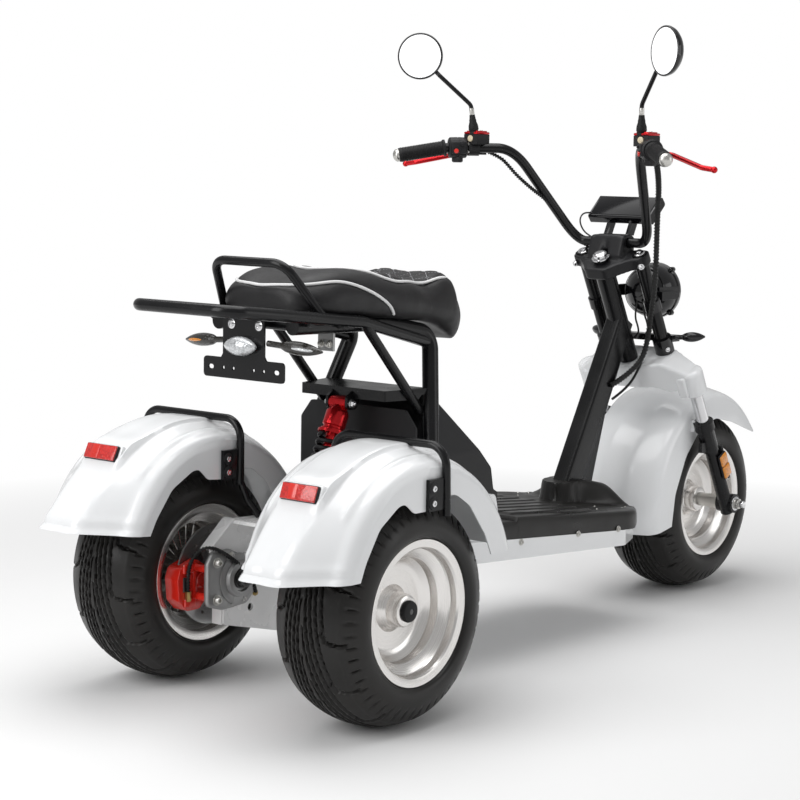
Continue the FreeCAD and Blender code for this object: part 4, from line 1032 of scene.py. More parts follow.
def mat_height(x, y):
    """Height of the mat's upper side over the floor, in millimetres."""
    away = abs(y)
    z = mat_top(x) - 9.0 * (1 - smooth_step(x, 556, 562))
    stop = 930 - away * 0.15
    if 575 < x < stop and away < 168:
        place = (away - 20) / RIB_PITCH
        off = abs(place - round(place)) * RIB_PITCH
        ends = smooth_step(x, 575, 590) * (1 - smooth_step(x, stop - 22, stop))
        z += RIB_HEIGHT * (1 - smooth_step(off, 12.0, 15.5)) * ends
    if x < COLLAR_X:
        gap = math.hypot(x - COLLAR_X, y) - COLLAR_RADIUS
        lift = 1 - smooth_step(gap, -2, 5)
        foot = 1 - smooth_step(gap, 0, 26)
    else:
        t = smooth_step(x, COLLAR_X, MAT_FRONT)
        near, far = COLLAR_RADIUS - 2 + 14 * t, COLLAR_RADIUS + 5 + 98 * t
        lift = 1 - smooth_step(away, near, far)
        foot = 1 - smooth_step(away, far - 10, far + 22)
    front = 1 - 0.10 * smooth_step(x, 1050, MAT_FRONT)
    lean = 1 + 0.16 * smooth_step(x, COLLAR_X - 46, COLLAR_X + 30)
    z += HOOD_HEIGHT * lift * front * lean / 1.1 + 3.0 * foot
    crease = abs(away - (120 + 0.10 * (x - 900)))
    if x > 900:
        z -= 1.6 * math.exp(-(crease / 3.0) ** 2) * smooth_step(x, 900, 930)
    return z - rolled(mat_half(x) - away) - rolled(MAT_FRONT - x)


class SCOOTER_OT_footboard(bpy.types.Operator):
    """Mould the rubber mat with its ribs, rolled edges and raised front"""
    bl_idname = "scooter.footboard"
    bl_label = "Footboard"

    def execute(self, context):
        coarse = 1
        along, wide = 156 // coarse, 120 // coarse
        bm = bmesh.new()

        def place(column, row):
            x = MAT_REAR + (MAT_FRONT - MAT_REAR) * row / along
            side = -1 if column < 2 else 1
            border = min(column, wide + 4 - column)
            if border == 0:
                return at(x, side * (mat_half(x) - 1), mat_under(x))
            if border == 1:
                return at(x, side * mat_half(x), mat_under(x) + 5)
            share = -1 + 2 * (column - 2) / wide
            y = mat_half(x) * math.copysign(abs(share) ** 0.9, share)
            return at(x, y, mat_height(x, y))

        shaped_grid(bm, wide + 4, along, place)
        bmesh.ops.bridge_loops(bm, edges=[
            e for e in open_edges(bm) if e.verts[0].co.x != e.verts[1].co.x])
        bmesh.ops.holes_fill(bm, edges=open_edges(bm))
        outward(bm)
        piece("rubber_mat", bm, "chassis", "board_rubber", ["footboard"],
              sharp=44.0)
        studs = bmesh.new()
        for x, y in ((935, 150), (985, 110), (1040, 150), (1070, 140)):
            for side in (-1, 1):
                base = at(x, side * y, mat_height(x, y))
                dome_bolt(studs, base, (0, 0, 1), 2.6, 1.4)
        outward(studs)
        piece("mat_studs", studs, "chassis", "zinc_steel")
        return {"FINISHED"}


# Castings: fork crown, bridge and axle carriers

FORK_LEG_AHEAD = 30.8
FORK_LEG_Y = 147.0
CASTING_FACE, QUICK_CASTING_FACE = 0.0036, 0.0052
SOCKET_PROFILE = [(318, 17), (318, 26), (321, 29.5), (374, 30), (380, 28.5), (384, 24),
                  (385, 16), (385, 0)]


class SCOOTER_OT_castings(bpy.types.Operator):
    """Round off the fork crown with its sockets, the bridge and the axle carriers"""
    bl_idname = "scooter.castings"
    bl_label = "Castings"

    def execute(self, context):
        size = CASTING_FACE
        self.cast("fork_crown", "fork_crown_casting", "steering", "white_paint", size, 6)
        self.sockets()
        self.cast("top_bridge", "bridge_casting", "steering", "cast_black", size, 4)
        self.cast("axle_carriers", "carrier_castings", "chassis", "cast_alloy", size * 0.8, 4)
        return {"FINISHED"}

    def cast(self, packed, name, body, finish, size, rounds):
        placed(name, softened(packed, size, rounds), body, finish, [packed], 60.0)

    def sockets(self):
        """The crown's round sockets over the two legs, each with a web to the middle."""
        bm = bmesh.new()
        for side in (-1, 1):
            lathe(bm, SOCKET_PROFILE, on_fork(0, FORK_LEG_AHEAD, side * FORK_LEG_Y), STEER_UP, 56)
            web = on_fork(350, FORK_LEG_AHEAD - 24, side * (FORK_LEG_Y - 12))
            block(bm, (26, 26, 56), Matrix.Translation(web) @ FORK_TURN, 6, 3)
        outward(bm)
        piece("crown_sockets", bm, "steering", "white_paint")


# Seat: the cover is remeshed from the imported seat, with piping, seams and quilting

SIDE_PIPING = [(-46, 0, 832), (-41, -30, 833), (-35, -69, 834), (-11, -99, 836), (17, -113, 840),
               (46, -121, 842), (78, -130, 836), (109, -138, 826), (138, -143, 814),
               (166, -145, 799), (190, -142, 784), (206, -134, 768)]
TOP_PIPING = [(90, 0, 860), (100, -40, 859), (135, -75, 857), (169, -98, 854), (186, -116, 845),
              (219, -122, 835), (250, -117, 834), (282, -112, 838), (320, -107, 842),
              (350, -104, 841), (380, -100, 836), (405, -96, 828), (430, -80, 819),
              (448, -45, 814), (454, 0, 813)]


PANEL_HALF = [(90, 0), (100, 40), (135, 75), (169, 98), (219, 122), (282, 112), (350, 104),
              (405, 96), (430, 80), (448, 45), (454, 0)]
NOSE_HEIGHT = 17


def tree_over(mesh):
    """A search tree over a mesh, for seating things on it."""
    return BVHTree.FromPolygons([v.co for v in mesh.vertices],
                                [p.vertices for p in mesh.polygons])


def both_ways(half):
    """A line given on the right side, carried over to the left."""
    return [at(x, -y, z) for x, y, z in reversed(half[1:])] + [at(*point) for point in half]


def nose_lift(place):
    """How much the cover's raised nose stands over the plain seat, in metres."""
    x = (place.x - REAR_X) / MM
    share = smooth_step(x, 235, 345) * (1 - smooth_step(x, 415, 500))
    return NOSE_HEIGHT * MM * share * smooth_step(place.z / MM, 755, 815)


class SCOOTER_OT_seat(bpy.types.Operator):
    """Upholster the seat: raised nose, seams, quilted panel, stitches and white piping"""
    bl_idname = "scooter.seat"
    bl_label = "Seat"

    def execute(self, context):
        settings = context.scene.scooter_seat
        cover = self.even_cover(settings)
        tree = tree_over(cover)
        side = [self.on_cover(tree, point) for point in both_ways(SIDE_PIPING)]
        loop = both_ways(TOP_PIPING)[:-1]
        top = [self.on_cover(tree, point) for point in loop]
        self.press(cover, side, top, settings)
        made = placed("seat_cover", cover, "chassis", "seat_vinyl", ["seat"], 80.0)
        radius = settings.piping_radius
        closed_cord("seat_side_piping", side, radius, "chassis", "white_piping", order=4)
        closed_cord("seat_top_piping", top, radius, "chassis", "white_piping", cyclic=True,
                    order=4)
        self.stitches(cover, settings)
        return {"FINISHED"}

    def even_cover(self, settings):
        cover = softened("seat", settings.voxel * (1), 7)
        for v in cover.vertices:
            v.co.z += nose_lift(v.co)
        return cover

    def on_cover(self, tree, point):
        place, normal, _, _ = tree.find_nearest(point)
        return place + normal * 0.8 * MM

    def inside_panel(self, place):
        """How far inside the quilted panel a place is, in millimetres."""
        x, y = (place.x - REAR_X) / MM, abs(place.y) / MM
        for (x0, y0), (x1, y1) in zip(PANEL_HALF, PANEL_HALF[1:]):
            if x0 <= x < x1:
                return min(y0 + (y1 - y0) * (x - x0) / (x1 - x0) - y, x - 150)
        return -1.0

    def quilt(self, place, pitch):
        """1 on a quilting line and 0 away from it."""
        u, v = (place.x + place.y) / pitch / 1.4, (place.x - place.y) / pitch / 1.4
        off = min(abs(u - round(u)), abs(v - round(v))) * pitch
        return math.exp(-(off / 0.0032) ** 2)

    def press(self, cover, side, top, settings):
        """Sink the seams beside the piping and the quilting lines into the cover."""
        lines = KDTree(20 * (len(side) + len(top)))
        index = 0
        for line in (side, top + top[:1]):
            for a, b in zip(line, line[1:]):
                for i in range(20):
                    lines.insert(a.lerp(b, i / 20), index)
                    index += 1
        lines.balance()
        for v in cover.vertices:
            _, _, away = lines.find(v.co)
            depth = 2.2 * MM * math.exp(-(away / 0.007) ** 2)
            within = self.inside_panel(v.co)
            if within > 0 and v.normal.z > 0.3:
                share = smooth_step(within, 0, 12)
                depth += share * (2.0 * self.quilt(v.co, settings.quilt_pitch) - 1.2) * MM
            v.co -= v.normal * depth
            soft = noise.noise(v.co * 19) * 0.9 + noise.noise(v.co * 43) * 0.35
            v.co += v.normal * soft * MM

    def stitches(self, cover, settings):
        """Short light threads along the quilting lines."""
        tree = tree_over(cover)
        bm = bmesh.new()
        pitch = settings.quilt_pitch * 1.4
        middle = at(300, 0, 0)
        for sign in (1, -1):
            low = math.floor((middle.x - 0.30) / pitch)
            high = math.ceil((middle.x + 0.30) / pitch)
            for k in range(low, high + 1):
                for i in range(-40, 41):
                    y = i * 4.6 * MM
                    start = Vector((k * pitch - sign * y, y, 1))
                    end = start + Vector((-sign, 1, 0)) * 2.9 * MM / math.sqrt(2)
                    if self.inside_panel(start) < 6 or self.inside_panel(end) < 6:
                        continue
                    a = tree.ray_cast(start, Vector((0, 0, -1)))[0]
                    b = tree.ray_cast(end, Vector((0, 0, -1)))[0]
                    if a and b:
                        up = Vector((0, 0, 0.25 * MM))
                        rod(bm, a + up, b + up, 0.55, 5)
        piece("seat_stitches", bm, "chassis", "thread_grey")


# Cables and hoses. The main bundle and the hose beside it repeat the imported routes.

BUNDLE = [(1052, -206, 1084), (1100, -186, 1046), (1148, -154, 960), (1180, -134, 884),
          (1200, -122, 822), (1204, -116, 764), (1218, -100, 716), (1238, -84, 668),
          (1246, -66, 614), (1232, -50, 584), (1196, -34, 557), (1166, -26, 545)]
HOSE = [(1222, -46, 856), (1240, -50, 814), (1274, -56, 724), (1287, -54, 683), (1276, -52, 624),
        (1244, -50, 571), (1218, -36, 533), (1178, -24, 511)]
REAR_HOSE = [(-98, 141, 206), (-101, 139, 232), (-102, 136, 256), (-101, 127, 280),
             (-94, 112, 299), (-76, 98, 303), (-47, 90, 288), (-4, 86, 258), (32, 88, 224),
             (50, 96, 200), (60, 104, 190)]
LAMP_WIRES = [
    [(1322, -14, 742), (1306, -24, 716), (1310, -34, 690), (1322, -30, 668), (1314, -20, 652)],
    [(1322, 4, 740), (1302, 0, 708), (1308, -10, 676), (1318, -4, 660), (1310, 6, 650)],
    [(1322, -30, 750), (1300, -46, 722), (1296, -48, 690), (1308, -44, 660), (1306, -36, 648)],
]
DISPLAY_WIRE = [(1236, 62, 952), (1214, 92, 962), (1196, 100, 942), (1198, 88, 912),
                (1206, 62, 896), (1204, 40, 884)]
LEFT_BUNDLE = [(985, 225, 1100), (1010, 205, 1088), (1024, 188, 1066), (1032, 170, 1044),
               (1066, 152, 1014), (1110, 138, 988), (1146, 122, 950), (1180, 104, 912),
               (1204, 80, 878), (1216, 60, 850)]


class SCOOTER_OT_cables(bpy.types.Operator):
    """Run the wrapped cable bundle, the brake hoses and the small wires"""
    bl_idname = "scooter.cables"
    bl_label = "Cables"

    def execute(self, context):
        pitch = context.scene.scooter_cables.wrap_pitch
        bm = bmesh.new()
        self.wrapped(bm, run_of(BUNDLE), 7.0, pitch)
        self.plain(bm, run_of(HOSE), 3.2)
        mesh = bpy.data.meshes.new("cable_bundle")
        bm.to_mesh(mesh)
        bm.free()
        made = placed("cable_bundle", mesh, None, "cable_black", ["cables"], 60.0)
        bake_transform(made)
        for side, name in ((1, "rear_brake_hose"), (-1, "right_brake_hose")):
            hose = bmesh.new()
            self.wrapped(hose, run_of(REAR_HOSE, side), 4.2, 0.0062)
            piece(name, hose, "chassis", "cable_black")
        for side in (-1, 1):
            ends = bmesh.new()
            rod(ends, at(-97, side * 141.5, 190), at(-98, side * 141, 210), 6.5, 6, bevel=0.6)
            rod(ends, at(58, side * 102, 192), at(62, side * 107, 186), 6.0, 6, bevel=0.6)
            piece("hose_fitting_" + side_name(side), ends, "chassis", "brass")
        wires = bmesh.new()
        for route in LAMP_WIRES:
            self.plain(wires, run_of(route), 2.4)
        self.plain(wires, run_of(DISPLAY_WIRE), 2.0)
        self.wrapped(wires, run_of(LEFT_BUNDLE), 4.6, 0.0066)
        piece("small_wires", wires, "steering", "cable_black", sharp=60.0)
        return {"FINISHED"}

    def plain(self, bm, points, radius):
        mesh = spline_mesh("wire", points, radius * MM, resolution=8, sides=2)
        bm.from_mesh(mesh)
        bpy.data.meshes.remove(mesh)

    def wrapped(self, bm, points, radius, pitch):
        """A cord with a flat spiral wrap round it."""
        self.plain(bm, points, radius - 1.4)
        line = centre_line(points, 14)
        spiral = []
        run = 0.0
        side = (line[1] - line[0]).orthogonal().normalized()
        for a, b in zip(line, line[1:]):
            step = b - a
            along = step.normalized()
            side = (side - along * side.dot(along)).normalized()
            count = max(1, round(step.length / (pitch / 10)))
            for i in range(count):
                share = i / count
                turn = 2 * math.pi * (run + step.length * share) / pitch
                out = side * math.cos(turn) + along.cross(side) * math.sin(turn)
                spiral.append(a + step * share + out * (radius - 0.9) * MM)
            run += step.length
        mesh = spline_mesh("wrap", spiral, 1.5 * MM, sides=1, kind="POLY")
        bm.from_mesh(mesh)
        bpy.data.meshes.remove(mesh)


# Handlebar controls

GRIP_START = (907, 289, 1108)
GRIP_END = (824, 374, 1087)
BAR_HIGH = (1024, 177, 1109)
BAR_LOW = (1196, 102, 889)
CLAMP = (954, 244, 1108.4)
MIRROR_CENTRE = (862, 338, 1321.4)
MIRROR_TURN = math.radians(25)
MIRROR_RADIUS = 53.0


class SCOOTER_OT_controls(bpy.types.Operator):
    """Bend the bar and fit the grips, bar ends, levers, reservoirs, switches and mirrors"""
    bl_idname = "scooter.controls"
    bl_label = "Controls"

    def execute(self, context):
        self.bar()
        makers = [(self.grip, "grips_ribbed", "grip_rubber", "grip_rubber", ["grips"]),
                  (self.bar_end, "bar_end_domes", "zinc_steel", "bright_steel", ["bar_ends"]),
                  (self.pod, "switch_shells", "panel_black", "pod_plastic", ["switch_pods"]),
                  (self.keys, "switch_keys", "cast_black", None, ()),
                  (self.button, "switch_buttons", "red_paint", None, ()),
                  (self.cap, "reservoir_caps", "red_metal", None, ()),
                  (self.screws, "reservoir_screws", "zinc_steel", None, ()),
                  (self.window, "reservoir_windows", "cream_window", None, ()),
                  (self.lever_tip, "lever_tips", "red_metal", None, ()),
                  (self.mirror_shell, "mirror_shells", "gloss_black", None, ()),
                  # The mirror faces glow white by emission: a painted reflection.
                  (self.mirror_face, "mirror_faces", "mirror_glass_painted_glow", "mirror_face", ()),
                  (self.mirror_boot, "mirror_boots", "grip_rubber", None, ()),
                  (self.mirror_collar, "mirror_collars", "zinc_steel", None, ())]
        for maker, name, finish, slot, replaces in makers:
            bm = bmesh.new()
            for side in (-1, 1):
                maker(bm, side)
            outward(bm)
            piece(name, bm, "steering", finish, replaces, sharp=40.0)
        return {"FINISHED"}

    def bar(self):
        """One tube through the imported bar's corners, with wide bends."""
        corners = [on_side(p, -1) for p in (GRIP_END, GRIP_START, BAR_HIGH, BAR_LOW)]
        corners += [on_side(p, 1) for p in (BAR_LOW, BAR_HIGH, GRIP_START, GRIP_END)]
        reaches = [(40, 40), (80, 120), (120, 54), (54, 120), (120, 80), (40, 40)]
        route = [corners[0]]
        for i, (back, ahead) in enumerate(reaches, 1):
            before = (corners[i - 1] - corners[i]).normalized()
            after = (corners[i + 1] - corners[i]).normalized()
            route += [corners[i] + before * back * MM, corners[i], corners[i] + after * ahead * MM]
        route.append(corners[-1])
        mesh = spline_mesh("bar", route, 11.6 * MM, resolution=14, sides=6)
        placed("handlebar_tube", mesh, "steering", "black_paint", ["handlebar"],
               60.0)

    def grip_line(self, side):
        start, end = on_side(GRIP_START, side), on_side(GRIP_END, side)
        return start, (end - start).normalized(), (end - start).length / MM

    def grip(self, bm, side):
        start, out, length = self.grip_line(side)
        profile = [(2, 12.4), (2, 19.5), (7, 20.0), (9, 17.8)]
        step = 9.0
        while step < length - 14:
            profile += [(step + 0.6, 17.4), (step + 1.0, 16.2), (step + 2.4, 16.2),
                        (step + 2.8, 17.4)]
            step += 3.8
        profile += [(length - 9, 16.8), (length - 6, 16.0), (length - 6, 12.4)]
        lathe(bm, profile, start, out, 40, closed=True)

    def bar_end(self, bm, side):
        start, out, length = self.grip_line(side)
        lathe(bm, [(length - 6, 0), (length - 6, 14.6), (length - 1, 15.2), (length + 1.5, 14.2),
                   (length + 5, 11), (length + 7.6, 6), (length + 8.4, 0)], start, out, 40)

    def pod_place(self, side):
        start = on_side(GRIP_START, side)
        along = (on_side(BAR_HIGH, side) - start).normalized()
        up = Vector((0, 0, 1))
        back = along.cross(up).normalized()
        back = back if back.x < 0 else -back
        up = back.cross(along) if back.cross(along).z > 0 else -back.cross(along)
        return start, along, up, back

    def pod_face(self, side):
        start, along, up, back = self.pod_place(side)
        turned_to = Matrix((along, up, back)).transposed().to_4x4()
        return Matrix.Translation(start + along * 27 * MM + back * 21 * MM) @ turned_to

    def pod(self, bm, side):
        start, along, up, _ = self.pod_place(side)
        lathe(bm, [(5, 12), (5, 21), (8, 24.4), (25.6, 25), (26.2, 24), (27.6, 24), (28.2, 25),
                   (46, 24.4), (49, 21), (49, 12)], start, along, 40, closed=True)
        block(bm, (36, 28, 12), self.pod_face(side), 3)
        block(bm, (20, 22, 26), Matrix.Translation(start + along * 27 * MM - up * 22 * MM), 4)

    def keys(self, bm, side):
        face = self.pod_face(side)
        block(bm, (9, 6, 5), face @ Matrix.Translation((0.008, 0.007, 0.007)), 1)
        block(bm, (14, 5, 5), face @ Matrix.Translation((-0.004, -0.004, 0.007)), 1)

    def button(self, bm, side):
        start, along, up, back = self.pod_place(side)
        base = start + along * 20 * MM + back * 25 * MM - up * 8 * MM
        rod(bm, base, base + back * 6 * MM, 5.5, 20, bevel=0.8)

    def cap(self, bm, side):
        x, y, z = CLAMP
        block(bm, (52, 40, 6), Matrix.Translation(on_side((x + 5, y - 6, z + 35), side)), 3)
        block(bm, (42, 30, 3), Matrix.Translation(on_side((x + 5, y - 6, z + 39), side)), 1.2)

    def screws(self, bm, side):
        x, y, z = CLAMP
        for dx in (-17, 17):
            socket_bolt(bm, on_side((x + 5 + dx, y - 6, z + 40), side), (0, 0, 1), 3.4, 2.4)
        for dz in (-9, 9):
            socket_bolt(bm, on_side((x - 19, y, z + dz), side), (-1, 0, 0), 3.6, 3.6)

    def window(self, bm, side):
        x, y, z = CLAMP
        rod(bm, on_side((x - 19, y - 6, z + 22), side), on_side((x - 22, y - 6, z + 22), side),
            7.5, 24, bevel=0.6)

    def lever_tip(self, bm, side):
        bmesh.ops.create_uvsphere(bm, u_segments=20, v_segments=12, radius=7.5 * MM,
                                  matrix=Matrix.Translation(on_side((930, 431, 1068), side)))

    def mirror_facing(self, side):
        return Vector((-math.cos(MIRROR_TURN), -math.sin(MIRROR_TURN) * side, 0))

    def mirror_shell(self, bm, side):
        r = MIRROR_RADIUS
        lathe(bm, [(0.9, r - 2.6), (1.6, r - 1.6), (1.6, r - 0.2), (0.4, r + 1.4), (-4, r + 1.6),
                   (-12, 0.97 * r), (-20, 0.82 * r), (-26, 0.6 * r), (-30, 0.3 * r), (-31, 0)],
              on_side(MIRROR_CENTRE, side), self.mirror_facing(side), 72)

    def mirror_face(self, bm, side):
        r = MIRROR_RADIUS
        lathe(bm, [(0.8, r - 2.4), (1.1, 0.6 * r), (1.3, 0)], on_side(MIRROR_CENTRE, side),
              self.mirror_facing(side), 72)

    def boot_line(self, side):
        base = on_side((CLAMP[0] - 11, CLAMP[1] - 10, CLAMP[2] + 32), side)
        tip = on_side((CLAMP[0] - 20, CLAMP[1] - 6, CLAMP[2] + 100), side)
        return base, (tip - base).normalized()

    def mirror_boot(self, bm, side):
        base, up = self.boot_line(side)
        rod(bm, base - up * 1 * MM, base + up * 8 * MM, 11.5, 6, bevel=0.8)
        lathe(bm, [(8, 0), (8, 10), (11, 12), (20, 11.5), (30, 8.4), (33, 8.6), (36, 7.6),
                   (46, 6.4), (48, 0)], base, up, 28)

    def mirror_collar(self, bm, side):
        base, up = self.boot_line(side)
        rod(bm, base + up * 46 * MM, base + up * 62 * MM, 5.6, 24, bevel=0.4)


# Lamps, display and reflectors

DISPLAY_MIDDLE = (1244.0, 0.0, 975.0)
DISPLAY_NORMAL = Vector((-0.666, 0, 0.746)).normalized()
LAMP_FRONT = (1408.0, 0.0, 765.0)
LAMP_RADIUS = 67.0
LAMP_LUGS = (-50, 50, 130, 230)


class SCOOTER_OT_lamps(bpy.types.Operator):
    """Fit lenses, bezels and the display's screen"""
    bl_idname = "scooter.lamps"
    bl_label = "Lamps"

    def execute(self, context):
        self.display()
        self.headlight()
        self.reflector_frames()
        self.fork_reflectors()
        self.indicator_lenses()
        return {"FINISHED"}

    def display(self):
        slope = Vector((0.746, 0, 0.666)).normalized()
        frame_of = Matrix((slope, Vector((0, 1, 0)), DISPLAY_NORMAL)).transposed().to_4x4()
        place = Matrix.Translation(at(*DISPLAY_MIDDLE) + DISPLAY_NORMAL * 0.4 * MM) @ frame_of
        glass = bmesh.new()
        block(glass, (64, 166, 3), place, 1.2)
        piece("display_glass", glass, "steering", "screen_glass")
        back = bmesh.new()
        block(back, (58, 150, 12), place @ Matrix.Translation((0.002, 0, -0.028)), 4)
        piece("display_back", back, "steering", "panel_black")

    def headlight(self):
        front = at(*LAMP_FRONT)
        ahead = Vector((1, 0, 0))
        ring, screws, glass = (bmesh.new() for _ in range(3))
        lathe(ring, [(-16, LAMP_RADIUS), (-14, LAMP_RADIUS + 2.4), (-4, LAMP_RADIUS + 2.4),
                     (0, LAMP_RADIUS), (2, LAMP_RADIUS - 4), (0, LAMP_RADIUS - 7)],
              front, ahead, 72)
        lathe(ring, [(-60, 57), (-61, 58.5), (-64, 57)], front, ahead, 72)
        lathe(ring, [(-88, 0), (-89, 14), (-92, 13), (-93, 0)], front, ahead, 40)
        outward(ring)
        for degrees in LAMP_LUGS:
            turn = math.radians(degrees)
            lug = front + Vector((0, math.cos(turn), math.sin(turn))) * (LAMP_RADIUS + 3) * MM
            rod(ring, lug - ahead * 16 * MM, lug - ahead * 3 * MM, 6.5, 20, bevel=0.8)
            socket_bolt(screws, lug - ahead * 16 * MM, -ahead, 3.6, 3)
        outward(screws)
        lathe(glass, [(0.5, LAMP_RADIUS - 6), (5, 0.6 * LAMP_RADIUS), (8, 0.3 * LAMP_RADIUS),
                      (9, 0)], front, ahead, 60)
        outward(glass)
        piece("headlight_ring", ring, "steering", "gloss_black")
        piece("headlight_screws", screws, "steering", "dark_steel")
        piece("headlight_lens", glass, "steering", "clear_lens")

    def reflector_frames(self):
        """The two rear reflectors in their black frames, on white pads of the mudguards."""
        parts = [("reflector_lens", "red_lens", "red_lens", ["rear_reflectors"],
                  [((12, 84, 30), (-4.5, 0, 0), 1.2)]),
                 ("reflector_bar", "red_paint", None, (), [((12, 20, 30), (-5.0, 14, 0), 1.0)]),
                 ("reflector_frame", "panel_black", None, (), [((12, 87, 33), (-2, 0, 0), 2.5)]),
                 ("reflector_pad", "white_paint", None, (), [((22, 98, 41), (10, 0, 0), 6)])]
        for name, finish, slot, replaces, blocks in parts:
            bm = bmesh.new()
            for side in (-1, 1):
                place = (fender_turn(side) @ Matrix.Translation(at(-214, side * FENDER_Y, 471))
                         @ Matrix.Rotation(math.radians(20), 4, "Y"))
                for size, offset, radius in blocks:
                    block(bm, size, place @ Matrix.Translation(Vector(offset) * MM), radius)
            piece(name, bm, "chassis", finish, replaces)

    def fork_reflectors(self):
        """The amber reflectors on the outer sides of the lower fork legs."""
        parts = [("side_reflector_lenses", "amber_lens", "amber_lens", ["fork_reflectors"],
                  [((31, 8, 34), (0, 1.0, -15), 4), ((31, 7, 30), (0, 0.4, 18), 4)]),
                 ("side_reflector_backs", "panel_black", None, (),
                  [((34, 8, 70), (0, -2.5, 0), 5)])]
        for name, finish, slot, replaces, blocks in parts:
            bm = bmesh.new()
            for side in (-1, 1):
                spot = on_fork(97, FORK_LEG_AHEAD + 9, side * (FORK_LEG_Y + 25))
                for size, (n, y, along), radius in blocks:
                    offset = STEER_AHEAD * n + Vector((0, side * y, 0)) + STEER_UP * along
                    place = Matrix.Translation(spot + offset * MM)
                    block(bm, size, place @ FORK_TURN, radius, 3)
            piece(name, bm, "steering", finish, replaces)

    def indicator_lenses(self):
        """The clear and amber windows on the rear faces of the leaf-shaped lamps."""
        for side in (-1, 1):
            start, end = on_side((-82, 55, 723), side), on_side((-66, 182, 714), side)
            along = (end - start).normalized()
            middle = start + along * 82 * MM + Vector((-6.5 * MM, 0, 0))
            turned_to = axis_matrix(middle, along)
            bm = bmesh.new()
            bmesh.ops.create_uvsphere(bm, u_segments=28, v_segments=18, radius=1.0)
            bmesh.ops.scale(bm, vec=(8.0 * MM, 4.6 * MM, 30 * MM), verts=bm.verts)
            bmesh.ops.transform(bm, matrix=turned_to, verts=bm.verts)
            finish = "amber_lens" if side > 0 else "clear_lens"
            piece("indicator_lens_" + side_name(side), bm, "chassis", finish)


# Bolts and small fittings


